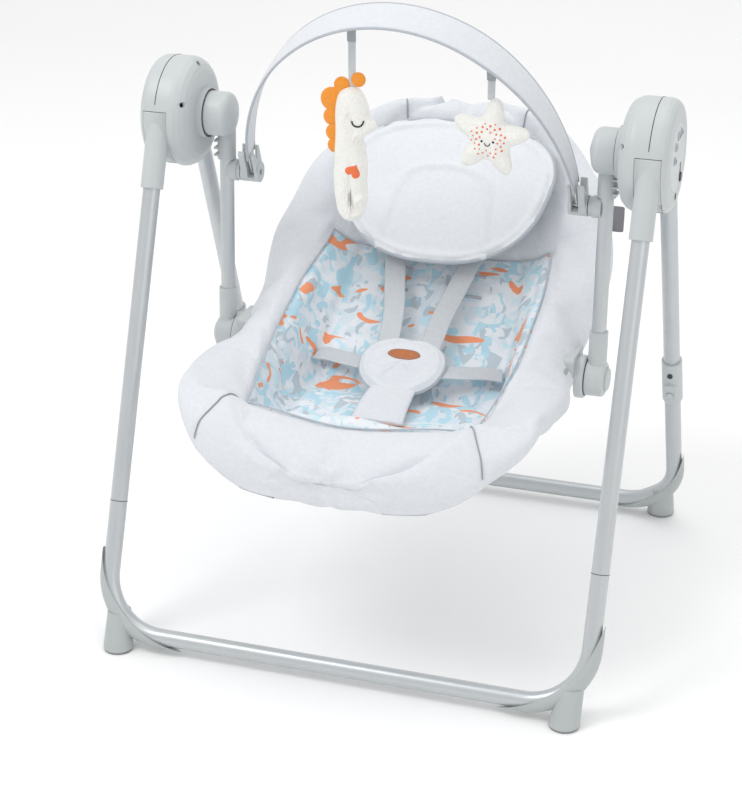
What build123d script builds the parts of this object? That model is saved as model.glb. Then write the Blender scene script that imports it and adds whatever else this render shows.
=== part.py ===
"""Battery baby swing on a folding tube frame, millimetres, +Z up, facing -Y.

The floor is z = 0, x = 0 is the middle and y = 0 lies under the swing axis.
Paired pieces are drawn on the +X side and mirrored for the -X side.
"""
from build123d import *
import os
from math import cos, radians, sin, sqrt, tan

os.makedirs("parts", exist_ok=True)

# ---- driving dimensions -------------------------------------------------
HUB_Z = 544.0            # height of the swing and fold axis
HUB_R = 61.0             # hub casing radius
HUB_IN = 238.0           # x of a hub's inner face
HUB_OUT = 292.0          # x of a hub's outer face
WALL = 2.5               # casing wall
LEG_X = 272.0            # x of the leg plane, also the casing seam
LEG_LEAN = 21.0          # degrees each leg leans from upright
LEG_TOP_Y = 48.0         # y of a leg's axis at the hub's height
TUBE_R = 9.5
TUBE_BORE = 8.3
BAR_Z = 18.0             # height of the crossbars' axis
BEND_R = 65.0            # bend of a base tube's corner
FRONT_JOINT_Z = 152.0    # where a front leg plugs into the base tube
REAR_JOINT_Z = 215.0
FOLD = 42.0              # degrees the front legs fold back

ARM_X = 217.0            # swing arm plane
ARM_R = 8.0
ARM_TOP = (12.0, 508.0)  # y, z of the arm tube's upper end
ARM_LOW = (2.0, 300.0)   # y, z of its lower end
HEAD_R = 24.8            # arm head
SHAFT_R = 5.0
RUNNING = 0.05           # radial clearance of a running fit

PIVOT_Y = 1.5            # recline pivot
PIVOT_Z = 283.5
CLIP_Y = 12.0            # toy bar pivot
CLIP_Z = 477.0
TOY_LEAN = 22.0          # degrees the toy bar leans forward
TOY_HALF = 186.0         # half width of the arch
TOY_RISE = 229.0         # height of the arch in its own plane

LEAN = radians(LEG_LEAN)
FACE = -1                # the front is -Y, the rear +Y


def leg_y(z, end):
    """y of a leg's axis at height z; end is -1 at the front, 1 at the rear."""
    return end * (LEG_TOP_Y + (HUB_Z - z) * tan(LEAN))


def leg_plane(z, end, x=LEG_X):
    """Plane across a leg at height z, its normal pointing up the leg."""
    up = (0, -end * sin(LEAN), cos(LEAN))
    return Plane(origin=(x, leg_y(z, end), z), x_dir=(1, 0, 0), z_dir=up)


def side_plane(x, y=0.0, z=HUB_Z):
    """Plane facing +X whose local axes are world Y and Z."""
    return Plane(origin=(x, y, z), x_dir=(0, 1, 0), z_dir=(1, 0, 0))


def hub_axis():
    return Axis((0, 0, HUB_Z), (1, 0, 0))


def save(piece, name):
    piece.label = name
    export_step(piece, f"parts/{name}.step")


def save_pair(piece, name):
    """The piece as drawn on the right, and its mirror image on the left."""
    save(piece, f"{name}_right")
    save(mirror(piece, about=Plane.YZ), f"{name}_left")


def save_both(piece, name):
    """One node that holds the right piece and its mirror image."""
    save(Compound(children=[piece, mirror(piece, about=Plane.YZ)]), name)


# ---- hub casings --------------------------------------------------------
SEAM = LEG_X
SCREW_R = 54.0
SCREW_ANGLES = (20.0, 90.0, 157.0, 292.0)
BUSH_R = 8.0
BOSS_R = 11.0
PIVOT_BOSS_R = 13.0      # carries the fold ring and a shaft bush
SOCKET_R = 12.5          # front leg socket
SOCKET_TOP = 21.0        # along the leg, from the point nearest the axis
SOCKET_END = 91.0
RING_R = 18.0            # fold ring of a front socket
RING_X = (265.0, 277.0)
SLOT = (258.0, 286.0)    # x range of the slot that the socket sweeps
SLOT_ANGLES = (167.0, 264.0)


def revolve_profile(points):
    """Ring solid from (x, radius) points about the hub axis."""
    with BuildPart() as ring:
        with BuildSketch(Plane.XZ):
            with BuildLine():
                Polyline([(x, HUB_Z + r) for x, r in points], close=True)
            make_face()
        revolve(axis=hub_axis())
    return ring.part


def soft_edge(x_rim, x_face, r_face):
    """Points of the rounded edge from the rim to a face."""
    reach_x, reach_r = x_face - x_rim, HUB_R - r_face
    turns = [radians(a) for a in (15, 35, 55, 75)]
    return [(x_rim + reach_x * sin(t), r_face + reach_r * cos(t)) for t in turns]


def screw_spots(x):
    """Planes facing +X at the casing screws."""
    spots = []
    for angle in SCREW_ANGLES:
        y = SCREW_R * cos(radians(angle))
        z = SCREW_R * sin(radians(angle))
        spots.append(side_plane(x, y, HUB_Z + z))
    return spots


def discs(planes, radius, length):
    """Cylinders that start on each plane and run along its normal."""
    with BuildPart() as group:
        for plane in planes:
            with BuildSketch(plane):
                Circle(radius)
            extrude(amount=length)
    return group.part


def fold_slot():
    """Sector that the front socket sweeps through the casing's rim."""
    start, stop = SLOT_ANGLES
    middle = radians((start + stop) / 2)
    reach = 95.0
    tips = [radians(start), middle, radians(stop)]
    with BuildPart() as slot:
        with BuildSketch(side_plane(SLOT[0])):
            with BuildLine():
                corners = [(reach * cos(t), reach * sin(t)) for t in tips]
                Polyline([(0, 0), *corners], close=True)
            make_face()
            Circle(30, mode=Mode.SUBTRACT)
        extrude(amount=SLOT[1] - SLOT[0])
    return slot.part


def rear_leg_hole():
    """Clearance through the casing for the rear leg tube."""
    with BuildPart() as hole:
        with BuildSketch(leg_plane(460, 1)):
            Circle(TUBE_R)
        extrude(amount=86)
    return hole.part


def casing_cuts():
    return fold_slot() + rear_leg_hole()


with BuildPart() as inner_shell:
    edge = soft_edge(256, HUB_IN, 42)
    add(revolve_profile([(SEAM, 0), (SEAM, HUB_R), (256, HUB_R), *edge, (HUB_IN, 42),
                         (HUB_IN, 28), (230.5, 28), (230.5, 25.8), (234, 25.8), (234, 0)]))
    hollow = [(x + 1.8, r - 2.2) for x, r in edge]
    add(revolve_profile([(SEAM, BOSS_R), (SEAM, HUB_R - WALL), (256, HUB_R - WALL), *hollow,
                         (HUB_IN + WALL, 38), (HUB_IN + WALL, BOSS_R)]), mode=Mode.SUBTRACT)
    add(revolve_profile([(246, 0), (SEAM, 0), (SEAM, BOSS_R), (246, BOSS_R)]),
        mode=Mode.SUBTRACT)
    add(revolve_profile([(230, 0), (250, 0), (250, BUSH_R), (230, BUSH_R)]),
        mode=Mode.SUBTRACT)
    add(discs(screw_spots(247), 5.2, SEAM - 247))
    add(discs(screw_spots(236), 3.1, 26), mode=Mode.SUBTRACT)
    add(discs(screw_spots(236), 1.6, 40), mode=Mode.SUBTRACT)
    add(casing_cuts(), mode=Mode.SUBTRACT)
save_pair(inner_shell.part, "hub_inner_shell")


def outer_shell():
    """Outer half of a hub, with the boss that the fold ring turns on."""
    edge = soft_edge(280, HUB_OUT, 50)
    with BuildPart() as shell:
        add(revolve_profile([(SEAM, 0), (SEAM, HUB_R), (280, HUB_R), *edge,
                             (HUB_OUT, 50), (HUB_OUT, 0)]))
        hollow = [(x - 1.6, r - 2.0) for x, r in edge]
        add(revolve_profile([(SEAM, 0), (SEAM, HUB_R - WALL), (280, HUB_R - WALL), *hollow,
                             (HUB_OUT - WALL, 46), (HUB_OUT - WALL, 0)]), mode=Mode.SUBTRACT)
        add(revolve_profile([(262, BUSH_R), (HUB_OUT - 2, BUSH_R),
                             (HUB_OUT - 2, PIVOT_BOSS_R), (262, PIVOT_BOSS_R)]))
        add(discs(screw_spots(SEAM), 3.6, 14))
        add(discs(screw_spots(SEAM - 1), 1.5, 10), mode=Mode.SUBTRACT)
        add(casing_cuts(), mode=Mode.SUBTRACT)
    return shell.part


# ---- controls on the right hub ------------------------------------------
KEY_R = 4.5
KEY_RING = 24.0
KEY_Y = 8.0              # y of the middle of the ring of keys
KEY_ANGLES = (75.0, 110.0, 145.0, 180.0)
KEY_NAMES = ("power_key", "speed_key", "music_key", "timer_key")
SWITCH_Y, SWITCH_Z = 20.0, 522.0
SWITCH_GAP = (8.0, 22.0)    # slot of the slide switch, along Y and Z
PANEL_R = 37.0
PANEL_X = HUB_OUT - 1.2


def key_spot(angle):
    """y and height above the axis of a key's centre."""
    turn = radians(angle)
    return KEY_Y + KEY_RING * cos(turn), KEY_RING * sin(turn)


def key_plane(x, angle):
    y, z = key_spot(angle)
    return side_plane(x, y, HUB_Z + z)


def switch_plane(x, dz=0.0):
    return side_plane(x, SWITCH_Y, SWITCH_Z + dz)


JACK_Y, JACK_Z = 0.0, 501.0
JACK_BORE = 2.8
JACK_LENGTH = 10.0
JACK_X = HUB_OUT - JACK_LENGTH

with BuildPart() as outer_right:
    add(outer_shell())
    with BuildSketch(side_plane(PANEL_X)):
        Circle(PANEL_R)
    extrude(amount=5, mode=Mode.SUBTRACT)
    for key_angle in KEY_ANGLES:
        with BuildSketch(key_plane(HUB_OUT - 6, key_angle)):
            Circle(KEY_R + 0.3)
        extrude(amount=10, mode=Mode.SUBTRACT)
    with BuildSketch(switch_plane(HUB_OUT - 6)):
        RectangleRounded(*SWITCH_GAP, 2)
    extrude(amount=10, mode=Mode.SUBTRACT)
    with BuildSketch(side_plane(HUB_OUT - 6, JACK_Y, JACK_Z)):
        Circle(4.2)
    extrude(amount=10, mode=Mode.SUBTRACT)
save(outer_right.part, "hub_outer_shell_right")

with BuildPart() as control_panel:
    with BuildSketch(side_plane(PANEL_X)):
        Circle(PANEL_R - 0.2)
        for key_angle in KEY_ANGLES:
            with Locations(key_spot(key_angle)):
                Circle(KEY_R + 0.3, mode=Mode.SUBTRACT)
        with Locations((SWITCH_Y, SWITCH_Z - HUB_Z)):
            RectangleRounded(*SWITCH_GAP, 2, mode=Mode.SUBTRACT)
    extrude(amount=HUB_OUT - PANEL_X)
control_panel.part.label = "control_panel"
export_step(control_panel.part, "parts/control_panel.step")

for key_name, key_angle in zip(KEY_NAMES, KEY_ANGLES):
    with BuildPart() as key:
        with BuildSketch(key_plane(HUB_OUT - 2.0, key_angle)):
            Circle(KEY_R)
        extrude(amount=3.4)
        fillet(key.edges().group_by(Axis.X)[-1], 0.8)
    save(key.part, key_name)

with BuildPart() as power_switch:
    with BuildSketch(switch_plane(HUB_OUT - 2.4, -5)):
        RectangleRounded(7.2, 9, 2)
    extrude(amount=3.8)
power_switch.part.label = "power_switch"
export_step(power_switch.part, "parts/power_switch.step")

with BuildPart() as dc_jack:
    with BuildSketch(side_plane(JACK_X, JACK_Y, JACK_Z)):
        Circle(4.1)
    extrude(amount=JACK_LENGTH)
    with BuildSketch(side_plane(JACK_X + 1, JACK_Y, JACK_Z)):
        Circle(JACK_BORE)
    extrude(amount=JACK_LENGTH, mode=Mode.SUBTRACT)
dc_jack.part.label = "dc_jack"
export_step(dc_jack.part, "parts/dc_jack.step")

# ---- battery bay on the left hub (drawn on the right, then mirrored) ----
DOOR_Z = 578.5
DOOR = (54.0, 26.0)
CELL_R = 7.0
CELL_LENGTH = 50.0
CELLS = [(267.0, 571.3), (281.2, 571.3), (267.0, 585.5), (281.2, 585.5)]

with BuildPart() as outer_left:
    add(outer_shell())
    with BuildSketch(side_plane(HUB_OUT - 6, 0, DOOR_Z)):
        RectangleRounded(*DOOR, 4)
    extrude(amount=10, mode=Mode.SUBTRACT)
save(mirror(outer_left.part, about=Plane.YZ), "hub_outer_shell_left")

with BuildPart() as battery_door:
    with BuildSketch(side_plane(HUB_OUT - 1.6, 0, DOOR_Z)):
        RectangleRounded(DOOR[0] - 0.8, DOOR[1] - 0.8, 3.6)
    extrude(amount=1.6)
    with BuildSketch(side_plane(HUB_OUT - 2.6, 0, DOOR_Z)):
        with GridLocations(36, 0, 2, 1):
            Rectangle(5, 20)
    extrude(amount=1.0)
save(mirror(battery_door.part, about=Plane.YZ), "battery_door")

with BuildPart() as battery_cells:
    for cell_x, cell_z in CELLS:
        with BuildSketch(Plane(origin=(cell_x, -CELL_LENGTH / 2, cell_z), z_dir=(0, 1, 0))):
            Circle(CELL_R)
        extrude(amount=CELL_LENGTH - 1.5)
        with BuildSketch(Plane(origin=(cell_x, CELL_LENGTH / 2 - 1.5, cell_z), z_dir=(0, 1, 0))):
            Circle(2.6)
        extrude(amount=1.5)
save(mirror(battery_cells.part, about=Plane.YZ), "battery_cells")

# ---- what the right hub holds -------------------------------------------
BOARD_X = 286.8

with BuildPart() as circuit_board:
    with BuildSketch(side_plane(BOARD_X)):
        Circle(36)
        Circle(PIVOT_BOSS_R + 1, mode=Mode.SUBTRACT)
    extrude(amount=1.6)
circuit_board.part.label = "circuit_board"
export_step(circuit_board.part, "parts/circuit_board.step")

SPEAKER_Y, SPEAKER_Z = 0.0, 580.0
with BuildPart() as speaker:
    with BuildSketch(side_plane(276, SPEAKER_Y, SPEAKER_Z)):
        Circle(13)
    extrude(amount=3)
    with BuildSketch(side_plane(271, SPEAKER_Y, SPEAKER_Z)):
        Circle(6.5)
    extrude(amount=5)
speaker.part.label = "speaker"
export_step(speaker.part, "parts/speaker.step")

COIL_Z = HUB_Z + 38
with BuildPart() as drive_coil:
    with BuildSketch(side_plane(256.5, 0, COIL_Z)):
        Circle(9)
        Circle(3, mode=Mode.SUBTRACT)
    extrude(amount=5)
drive_coil.part.label = "drive_coil"
export_step(drive_coil.part, "parts/drive_coil.step")

with BuildPart() as hub_screw:
    add(discs(screw_spots(259.4), 2.8, 2.6))
    add(discs(screw_spots(261), 1.5, 19))
save_both(hub_screw.part, "hub_screws")

with BuildPart() as bush:
    for start, stop in ((235, 246), (264, 276)):
        with BuildSketch(side_plane(start)):
            Circle(BUSH_R)
            Circle(SHAFT_R + RUNNING, mode=Mode.SUBTRACT)
        extrude(amount=stop - start)
save_both(bush.part, "shaft_bushes")

# ---- rear legs, their joints and the rear base tube ---------------------


def straight_tube(z_low, z_high, end):
    """Length of leg tube between two heights."""
    with BuildPart() as tube:
        with BuildSketch(leg_plane(z_low, end)):
            Circle(TUBE_R)
            Circle(TUBE_BORE, mode=Mode.SUBTRACT)
        extrude(amount=(z_high - z_low) / cos(LEAN))
    return tube.part


def base_tube(z_joint, end):
    """U tube: two lower legs and the crossbar, with swaged ends."""
    low_y = leg_y(BAR_Z, end)
    top_y = leg_y(z_joint, end)
    with BuildPart() as tube:
        with BuildLine():
            path = FilletPolyline((-LEG_X, top_y, z_joint), (-LEG_X, low_y, BAR_Z),
                                  (LEG_X, low_y, BAR_Z), (LEG_X, top_y, z_joint),
                                  radius=BEND_R)
        with BuildSketch(leg_plane(z_joint, end, -LEG_X)):
            Circle(TUBE_R)
            Circle(TUBE_BORE, mode=Mode.SUBTRACT)
        sweep(path=path.wire())
        for x in (-LEG_X, LEG_X):
            with BuildSketch(leg_plane(z_joint - 2, end, x)):
                Circle(TUBE_BORE)
                Circle(TUBE_BORE - 1.2, mode=Mode.SUBTRACT)
            extrude(amount=32)
    return tube.part


REAR_TOP_Z = 536.0
save_both(straight_tube(REAR_JOINT_Z, REAR_TOP_Z, 1), "rear_legs")
save(base_tube(REAR_JOINT_Z, 1), "rear_base_tube")
LOCK_R = 4.0
LOCK_Z = 208.0
SCREW_Z = 234.0


def lock_plane(lift, z=LOCK_Z):
    """Plane a height off a rear leg's axis, facing out of the leg's front."""
    out = Vector(0, -cos(LEAN), -sin(LEAN))
    return Plane(origin=Vector(LEG_X, leg_y(z, 1), z) + out * lift, x_dir=(1, 0, 0), z_dir=out)


with BuildPart() as lock_hole:
    with BuildSketch(lock_plane(5)):
        Circle(LOCK_R + 0.3)
    extrude(amount=12)

with BuildPart() as joint_sleeve:
    with BuildSketch(leg_plane(192, 1)):
        Circle(12)
    extrude(amount=60)
    with BuildSketch(lock_plane(6)):
        SlotOverall(30, 15, rotation=90)
    extrude(amount=9.5)
    with BuildSketch(leg_plane(180, 1)):
        Circle(TUBE_R)
    extrude(amount=90, mode=Mode.SUBTRACT)
    with BuildSketch(leg_plane(192, 1)):
        with Locations((0, 14)):
            Rectangle(30, 22)
    extrude(amount=10, mode=Mode.SUBTRACT)
    add(lock_hole.part, mode=Mode.SUBTRACT)
    with BuildSketch(lock_plane(5)):
        Circle(LOCK_R + 2.4)
    extrude(amount=9.3, mode=Mode.SUBTRACT)
    with BuildSketch(lock_plane(5, SCREW_Z)):
        Circle(1.8)
    extrude(amount=9, mode=Mode.SUBTRACT)
save_both(joint_sleeve.part, "leg_joints")

with BuildPart() as lock_button:
    with BuildSketch(lock_plane(12.9)):
        Circle(LOCK_R + 1.6)
    extrude(amount=1.2)
    with BuildSketch(lock_plane(14)):
        Circle(LOCK_R - 0.1)
    extrude(amount=4)
    fillet(lock_button.edges().group_by(Axis.Y)[0], 1.2)
save_pair(lock_button.part, "lock_button")

with BuildPart() as joint_screw:
    with BuildSketch(lock_plane(TUBE_R, SCREW_Z)):
        Circle(1.8)
    extrude(amount=3)
    with BuildSketch(lock_plane(12.0, SCREW_Z)):
        Circle(3.2)
    extrude(amount=1.6)
save_both(joint_screw.part, "joint_screws")

# ---- feet ---------------------------------------------------------------
FOOT_IN = 18.6           # foot centre, inboard of the leg
FOOT_Y = 258.0
FOOT_R = 16.6
PAD_Z = 3.0
CAP_R = 12.3
FOOT_TOP = (257.0, 243.0, 40.0)   # where the foot's column meets the tube
FOOT_TOP_R = 13.0
CAP_EDGE_R = 123.6       # the cap's upper edge is an arc in the tube's plane
CAP_EDGE_IN = 110.0


def bend_plane(end):
    """Plane of a base tube: local x is X, local y runs up the leg."""
    return Plane(origin=(0, leg_y(BAR_Z, end), BAR_Z), x_dir=(1, 0, 0),
                 z_dir=(0, -cos(LEAN), -end * sin(LEAN)))


def corner_rod(end, radius, up, along):
    """Round rod that follows a base tube's corner."""
    plane = bend_plane(end)
    top = plane.from_local_coords((LEG_X, up))
    with BuildPart() as rod:
        with BuildLine():
            path = FilletPolyline(top, plane.from_local_coords((LEG_X, 0)),
                                  plane.from_local_coords((LEG_X - along, 0)), radius=BEND_R)
        with BuildSketch(Plane(origin=top, x_dir=(1, 0, 0), z_dir=-plane.y_dir)):
            Circle(radius)
        sweep(path=path.wire())
    return rod.part


def foot_cap(end):
    """Moulded shoe round the outside of a corner, ending in a round foot."""
    with BuildPart() as cap:
        add(corner_rod(end, CAP_R, 90, 105))
        with BuildSketch(bend_plane(end).offset(-30)):
            with Locations((LEG_X - CAP_EDGE_IN, CAP_EDGE_IN)):
                Circle(CAP_EDGE_R)
        extrude(amount=60, mode=Mode.SUBTRACT)
        with BuildSketch(Plane.XY.offset(PAD_Z)):
            with Locations((LEG_X - FOOT_IN, end * FOOT_Y)):
                Circle(FOOT_R)
        with BuildSketch(Plane.XY.offset(FOOT_TOP[2])):
            with Locations((FOOT_TOP[0], end * FOOT_TOP[1])):
                Circle(FOOT_TOP_R)
        loft()
        add(corner_rod(end, TUBE_R, 100, 150), mode=Mode.SUBTRACT)
    return cap.part


def foot_pad(end):
    with BuildPart() as pad:
        with BuildSketch(Plane.XY):
            with Locations((LEG_X - FOOT_IN, end * FOOT_Y)):
                Circle(FOOT_R - 1)
        extrude(amount=PAD_Z)
    return pad.part


for end, end_name in ((FACE, "front"), (-FACE, "rear")):
    save_both(foot_cap(end), f"{end_name}_feet")
    save_both(foot_pad(end), f"{end_name}_foot_pads")

# ---- front legs, turning on the hub axis --------------------------------
save_both(straight_tube(FRONT_JOINT_Z, 532, FACE), "front_legs")
save(base_tube(FRONT_JOINT_Z, FACE), "front_base_tube")

NEAREST_Z = HUB_Z + LEG_TOP_Y * cos(LEAN) * sin(LEAN)


def along_leg(distance):
    """Plane across the front leg, a distance down from its nearest point."""
    return leg_plane(NEAREST_Z - distance * cos(LEAN), FACE)


with BuildPart() as front_socket:
    with BuildSketch(along_leg(SOCKET_END)):
        Circle(SOCKET_R)
    extrude(amount=SOCKET_END - SOCKET_TOP)
    dome = Plane(origin=along_leg(SOCKET_TOP).origin, z_dir=(1, 0, 0))
    with Locations(dome):
        Sphere(SOCKET_R)
    with BuildSketch(side_plane(RING_X[0])):
        Circle(RING_R)
    extrude(amount=RING_X[1] - RING_X[0])
    hub_point = Vector(0, 0)
    with BuildSketch(side_plane(RING_X[0])):
        with BuildLine():
            tip = along_leg(SOCKET_TOP + 8).origin
            reach = Vector(tip.Y, tip.Z - HUB_Z)
            across = Vector(-reach.Y, reach.X).normalized() * 11
            Polyline(hub_point + across, reach + across, reach - across,
                     hub_point - across, close=True)
        make_face()
    extrude(amount=RING_X[1] - RING_X[0])
    with BuildSketch(side_plane(RING_X[0] - 10)):
        Circle(PIVOT_BOSS_R + RUNNING)
    extrude(amount=40, mode=Mode.SUBTRACT)
    with BuildSketch(along_leg(SOCKET_END + 10)):
        Circle(TUBE_R)
    extrude(amount=SOCKET_END + 10 - 30, mode=Mode.SUBTRACT)
save_both(front_socket.part, "front_sockets")

# ---- swing arms ---------------------------------------------------------
HEAD_IN = 200.0
HEAD_OUT = 232.0
SHAFT_X = (206.0, 275.0)
NECK_R = 10.3
DRUM_R = 20.0
DRUM_X = (206.5, 228.0)
CAP_X = 231.0


def arm_point(z):
    """Point on the arm tube's axis at height z."""
    part = (z - ARM_LOW[1]) / (ARM_TOP[1] - ARM_LOW[1])
    return (ARM_X, ARM_LOW[0] + part * (ARM_TOP[0] - ARM_LOW[0]), z)


def arm_rod(z_low, z_high, radius):
    """Round rod along the arm between two heights."""
    low, high = Vector(*arm_point(z_low)), Vector(*arm_point(z_high))
    with BuildPart() as rod:
        with BuildSketch(Plane(origin=low, x_dir=(1, 0, 0), z_dir=high - low)):
            Circle(radius)
        extrude(amount=(high - low).length)
    return rod.part


with BuildPart() as arm_head:
    nose = [(HEAD_IN + 12 - 9 * sin(radians(a)), HEAD_R - 11 + 11 * cos(radians(a)))
            for a in (0, 20, 40, 60, 80)]
    add(revolve_profile([(HEAD_OUT, 0), (HEAD_OUT, HEAD_R), *nose, (HEAD_IN, 5), (HEAD_IN, 0)]))
    add(arm_rod(489.5, 535, NECK_R))
    for rib_z in (493, 501, 509):
        with BuildSketch(Plane(origin=arm_point(rib_z), x_dir=(1, 0, 0), z_dir=(0, 0, 1))):
            with Locations((6.5, 0)):
                Rectangle(12.5, 15)
        extrude(amount=2.2)
    add(arm_rod(480, 508, ARM_R), mode=Mode.SUBTRACT)
    with BuildSketch(side_plane(SHAFT_X[0])):
        Circle(SHAFT_R)
    extrude(amount=40, mode=Mode.SUBTRACT)
save_both(arm_head.part, "arm_heads")

with BuildPart() as swing_shaft:
    with BuildSketch(side_plane(SHAFT_X[0])):
        Circle(SHAFT_R)
    extrude(amount=SHAFT_X[1] - SHAFT_X[0])
save_both(swing_shaft.part, "swing_shafts")

with BuildPart() as magnet_lever:
    with BuildSketch(side_plane(249)):
        with Locations((0, 19)):
            Rectangle(12, 38)
        with Locations((0, 0), (0, COIL_Z - HUB_Z)):
            Circle(8)
        Circle(SHAFT_R, mode=Mode.SUBTRACT)
    extrude(amount=3)
    with BuildSketch(side_plane(252, 0, COIL_Z)):
        Circle(7)
    extrude(amount=3)
magnet_lever.part.label = "magnet_lever"
export_step(magnet_lever.part, "parts/magnet_lever.step")

with BuildPart() as arm_tube:
    add(arm_rod(300, 508, ARM_R))
    add(arm_rod(299, 509, ARM_R - 1.2), mode=Mode.SUBTRACT)
save_both(arm_tube.part, "arm_tubes")

BUTTON_R = 13.0
PIN_R = 4.0
PIN_X = (197.0, 220.0)


def pivot_plane(x):
    return side_plane(x, PIVOT_Y, PIVOT_Z)


with BuildPart() as arm_end:
    with BuildSketch(pivot_plane(DRUM_X[0])):
        Circle(DRUM_R)
    extrude(amount=DRUM_X[1] - DRUM_X[0])
    fillet(arm_end.edges().group_by(Axis.X)[-1], 5)
    add(arm_rod(290, 338, NECK_R))
    add(arm_rod(300, 345, ARM_R), mode=Mode.SUBTRACT)
    with BuildSketch(pivot_plane(222)):
        Circle(BUTTON_R + 0.3)
    extrude(amount=14, mode=Mode.SUBTRACT)
    with BuildSketch(pivot_plane(DRUM_X[0])):
        Circle(PIN_R + RUNNING)
    extrude(amount=14, mode=Mode.SUBTRACT)
save_both(arm_end.part, "arm_ends")

with BuildPart() as recline_button:
    with BuildSketch(pivot_plane(225.4)):
        Circle(BUTTON_R)
    extrude(amount=CAP_X - 225.4)
    fillet(recline_button.edges().group_by(Axis.X)[-1], 2.5)
save_pair(recline_button.part, "recline_button")

# ---- seat frame ---------------------------------------------------------
BRACKET_R = 24.0
BRACKET_X = (196.0, 206.0)
SEAT_TUBE_R = 8.0
SEAT_TUBE_X = 184.0
SOCKET_Y = 24.0
SEAT_FRONT = [(SEAT_TUBE_X, -10, 297.6), (SEAT_TUBE_X, -60, 292), (180, -185, 276),
              (108, -256, 248)]
SEAT_BACK = [(SEAT_TUBE_X, 10, 297), (SEAT_TUBE_X, 60, 322), (170, 160, 402),
             (96, 226, 459)]


SEAT_BENDS = [60, 60, 45]


def hoop(half, radius, bore=0.0):
    """Round rod or tube along a half path and its mirror image, as one hoop."""
    points = half + [(-x, y, z) for x, y, z in reversed(half)]
    with BuildPart() as tube:
        with BuildLine():
            path = FilletPolyline(*points, radius=SEAT_BENDS + SEAT_BENDS[::-1])
        start = Vector(*points[1]) - Vector(*points[0])
        with BuildSketch(Plane(origin=points[0], x_dir=(1, 0, 0), z_dir=start)):
            Circle(radius)
            if bore:
                Circle(bore, mode=Mode.SUBTRACT)
        sweep(path=path.wire(), transition=Transition.ROUND)
    return tube.part


save(hoop(SEAT_FRONT, SEAT_TUBE_R, SEAT_TUBE_R - 1.2), "seat_tube_front")
save(hoop(SEAT_BACK, SEAT_TUBE_R, SEAT_TUBE_R - 1.2), "seat_tube_back")

with BuildPart() as seat_bracket:
    with BuildSketch(pivot_plane(BRACKET_X[0])):
        Circle(BRACKET_R)
    extrude(amount=BRACKET_X[1] - BRACKET_X[0])
    fillet(seat_bracket.edges().group_by(Axis.X)[-1], 3)
    with BuildSketch(side_plane(174, 0, 297)):
        RectangleRounded(2 * SOCKET_Y, 30, 6)
    extrude(amount=BRACKET_X[0] - 174)
    with BuildSketch(pivot_plane(PIN_X[0])):
        Circle(PIN_R)
    extrude(amount=12, mode=Mode.SUBTRACT)
    for half in (SEAT_FRONT, SEAT_BACK):
        add(hoop(half, SEAT_TUBE_R), mode=Mode.SUBTRACT)
save_both(seat_bracket.part, "seat_brackets")

with BuildPart() as pivot_pin:
    with BuildSketch(pivot_plane(PIN_X[0])):
        Circle(PIN_R)
    extrude(amount=PIN_X[1] - PIN_X[0])
save_both(pivot_pin.part, "recline_pins")

# ---- seat cover: a tub with a wide padded rim ---------------------------
# Each station: y, outer half width, rim height, inner edge half width and
# height, floor half width and height, thickness of the rim.
STATIONS = [
    (-274.6, 72, 243, 42, 255, 30, 256, 18),
    (-261, 128, 253, 80, 270, 60, 271, 28),
    (-236, 166, 275, 110, 292, 84, 292, 36),
    (-202, 190, 291, 124, 297, 98, 294, 36),
    (-178, 198, 299, 126, 282, 104, 254, 36),
    (-100, 204, 298, 136, 298, 110, 243, 36),
    (-36, 204, 299, 141, 318, 110, 244, 36),
    (-30, 194, 300, 141, 320, 110, 246, 34),
    (28, 194, 312, 141, 340, 107, 276, 34),
    (34, 204, 316, 141, 342, 106, 281, 36),
    (110, 202, 362, 134, 366, 98, 345, 36),
    (170, 186, 420, 118, 412, 86, 402, 36),
    (215, 148, 468, 90, 464, 66, 452, 36),
    (240, 92, 497, 50, 499, 36, 492, 28),
    (252, 40, 507, 22, 512, 14, 511, 14),
]
SHEET = 12.0             # thickness of the tub's wall


def tub_section(y, half, rim, inner, inner_z, floor, floor_z, thick):
    """Closed outline across the seat at y: padded rims and a sagging floor."""
    crest = (0.75 * inner + 0.25 * half, inner_z + 10)
    right = [(half, rim), (half - 10, rim + 12), crest, (inner, inner_z), (floor, floor_z)]
    under = [(0.95 * floor, min(floor_z - SHEET, rim - thick)),
             ((floor + half) / 2 + 8, rim - thick), (half - 5, rim - 0.45 * thick)]
    points = right + [(-x, z) for x, z in reversed(right)]
    points += [(-x, z) for x, z in reversed(under)] + under
    with BuildSketch(Plane.XZ.offset(-y)) as section:
        with BuildLine():
            Polyline(points, close=True)
        make_face()
    return section.sketch


with BuildPart() as seat_cover:
    for first, second in zip(STATIONS, STATIONS[1:]):
        loft([tub_section(*first), tub_section(*second)], ruled=True)
    for half in (SEAT_FRONT, SEAT_BACK):
        add(hoop(half, SEAT_TUBE_R), mode=Mode.SUBTRACT)
    for side in (-1, 1):
        with BuildSketch(Plane.YZ.offset(side * 185)):
            with Locations((0, 297)):
                Rectangle(2 * SOCKET_Y + 1, 31)
        extrude(amount=12, both=True, mode=Mode.SUBTRACT)
save(seat_cover.part, "seat_cover")

# ---- head pillow, harness and small soft pieces -------------------------
BACK_ANGLE = 43.0        # slope of the back, from level


def back_plane(y, z, lift=0.0):
    """Plane on the back whose local y runs up the slope."""
    slope = radians(BACK_ANGLE)
    out = Vector(0, -sin(slope), cos(slope))
    return Plane(origin=Vector(0, y, z) + out * lift, x_dir=(1, 0, 0), z_dir=out)


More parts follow.
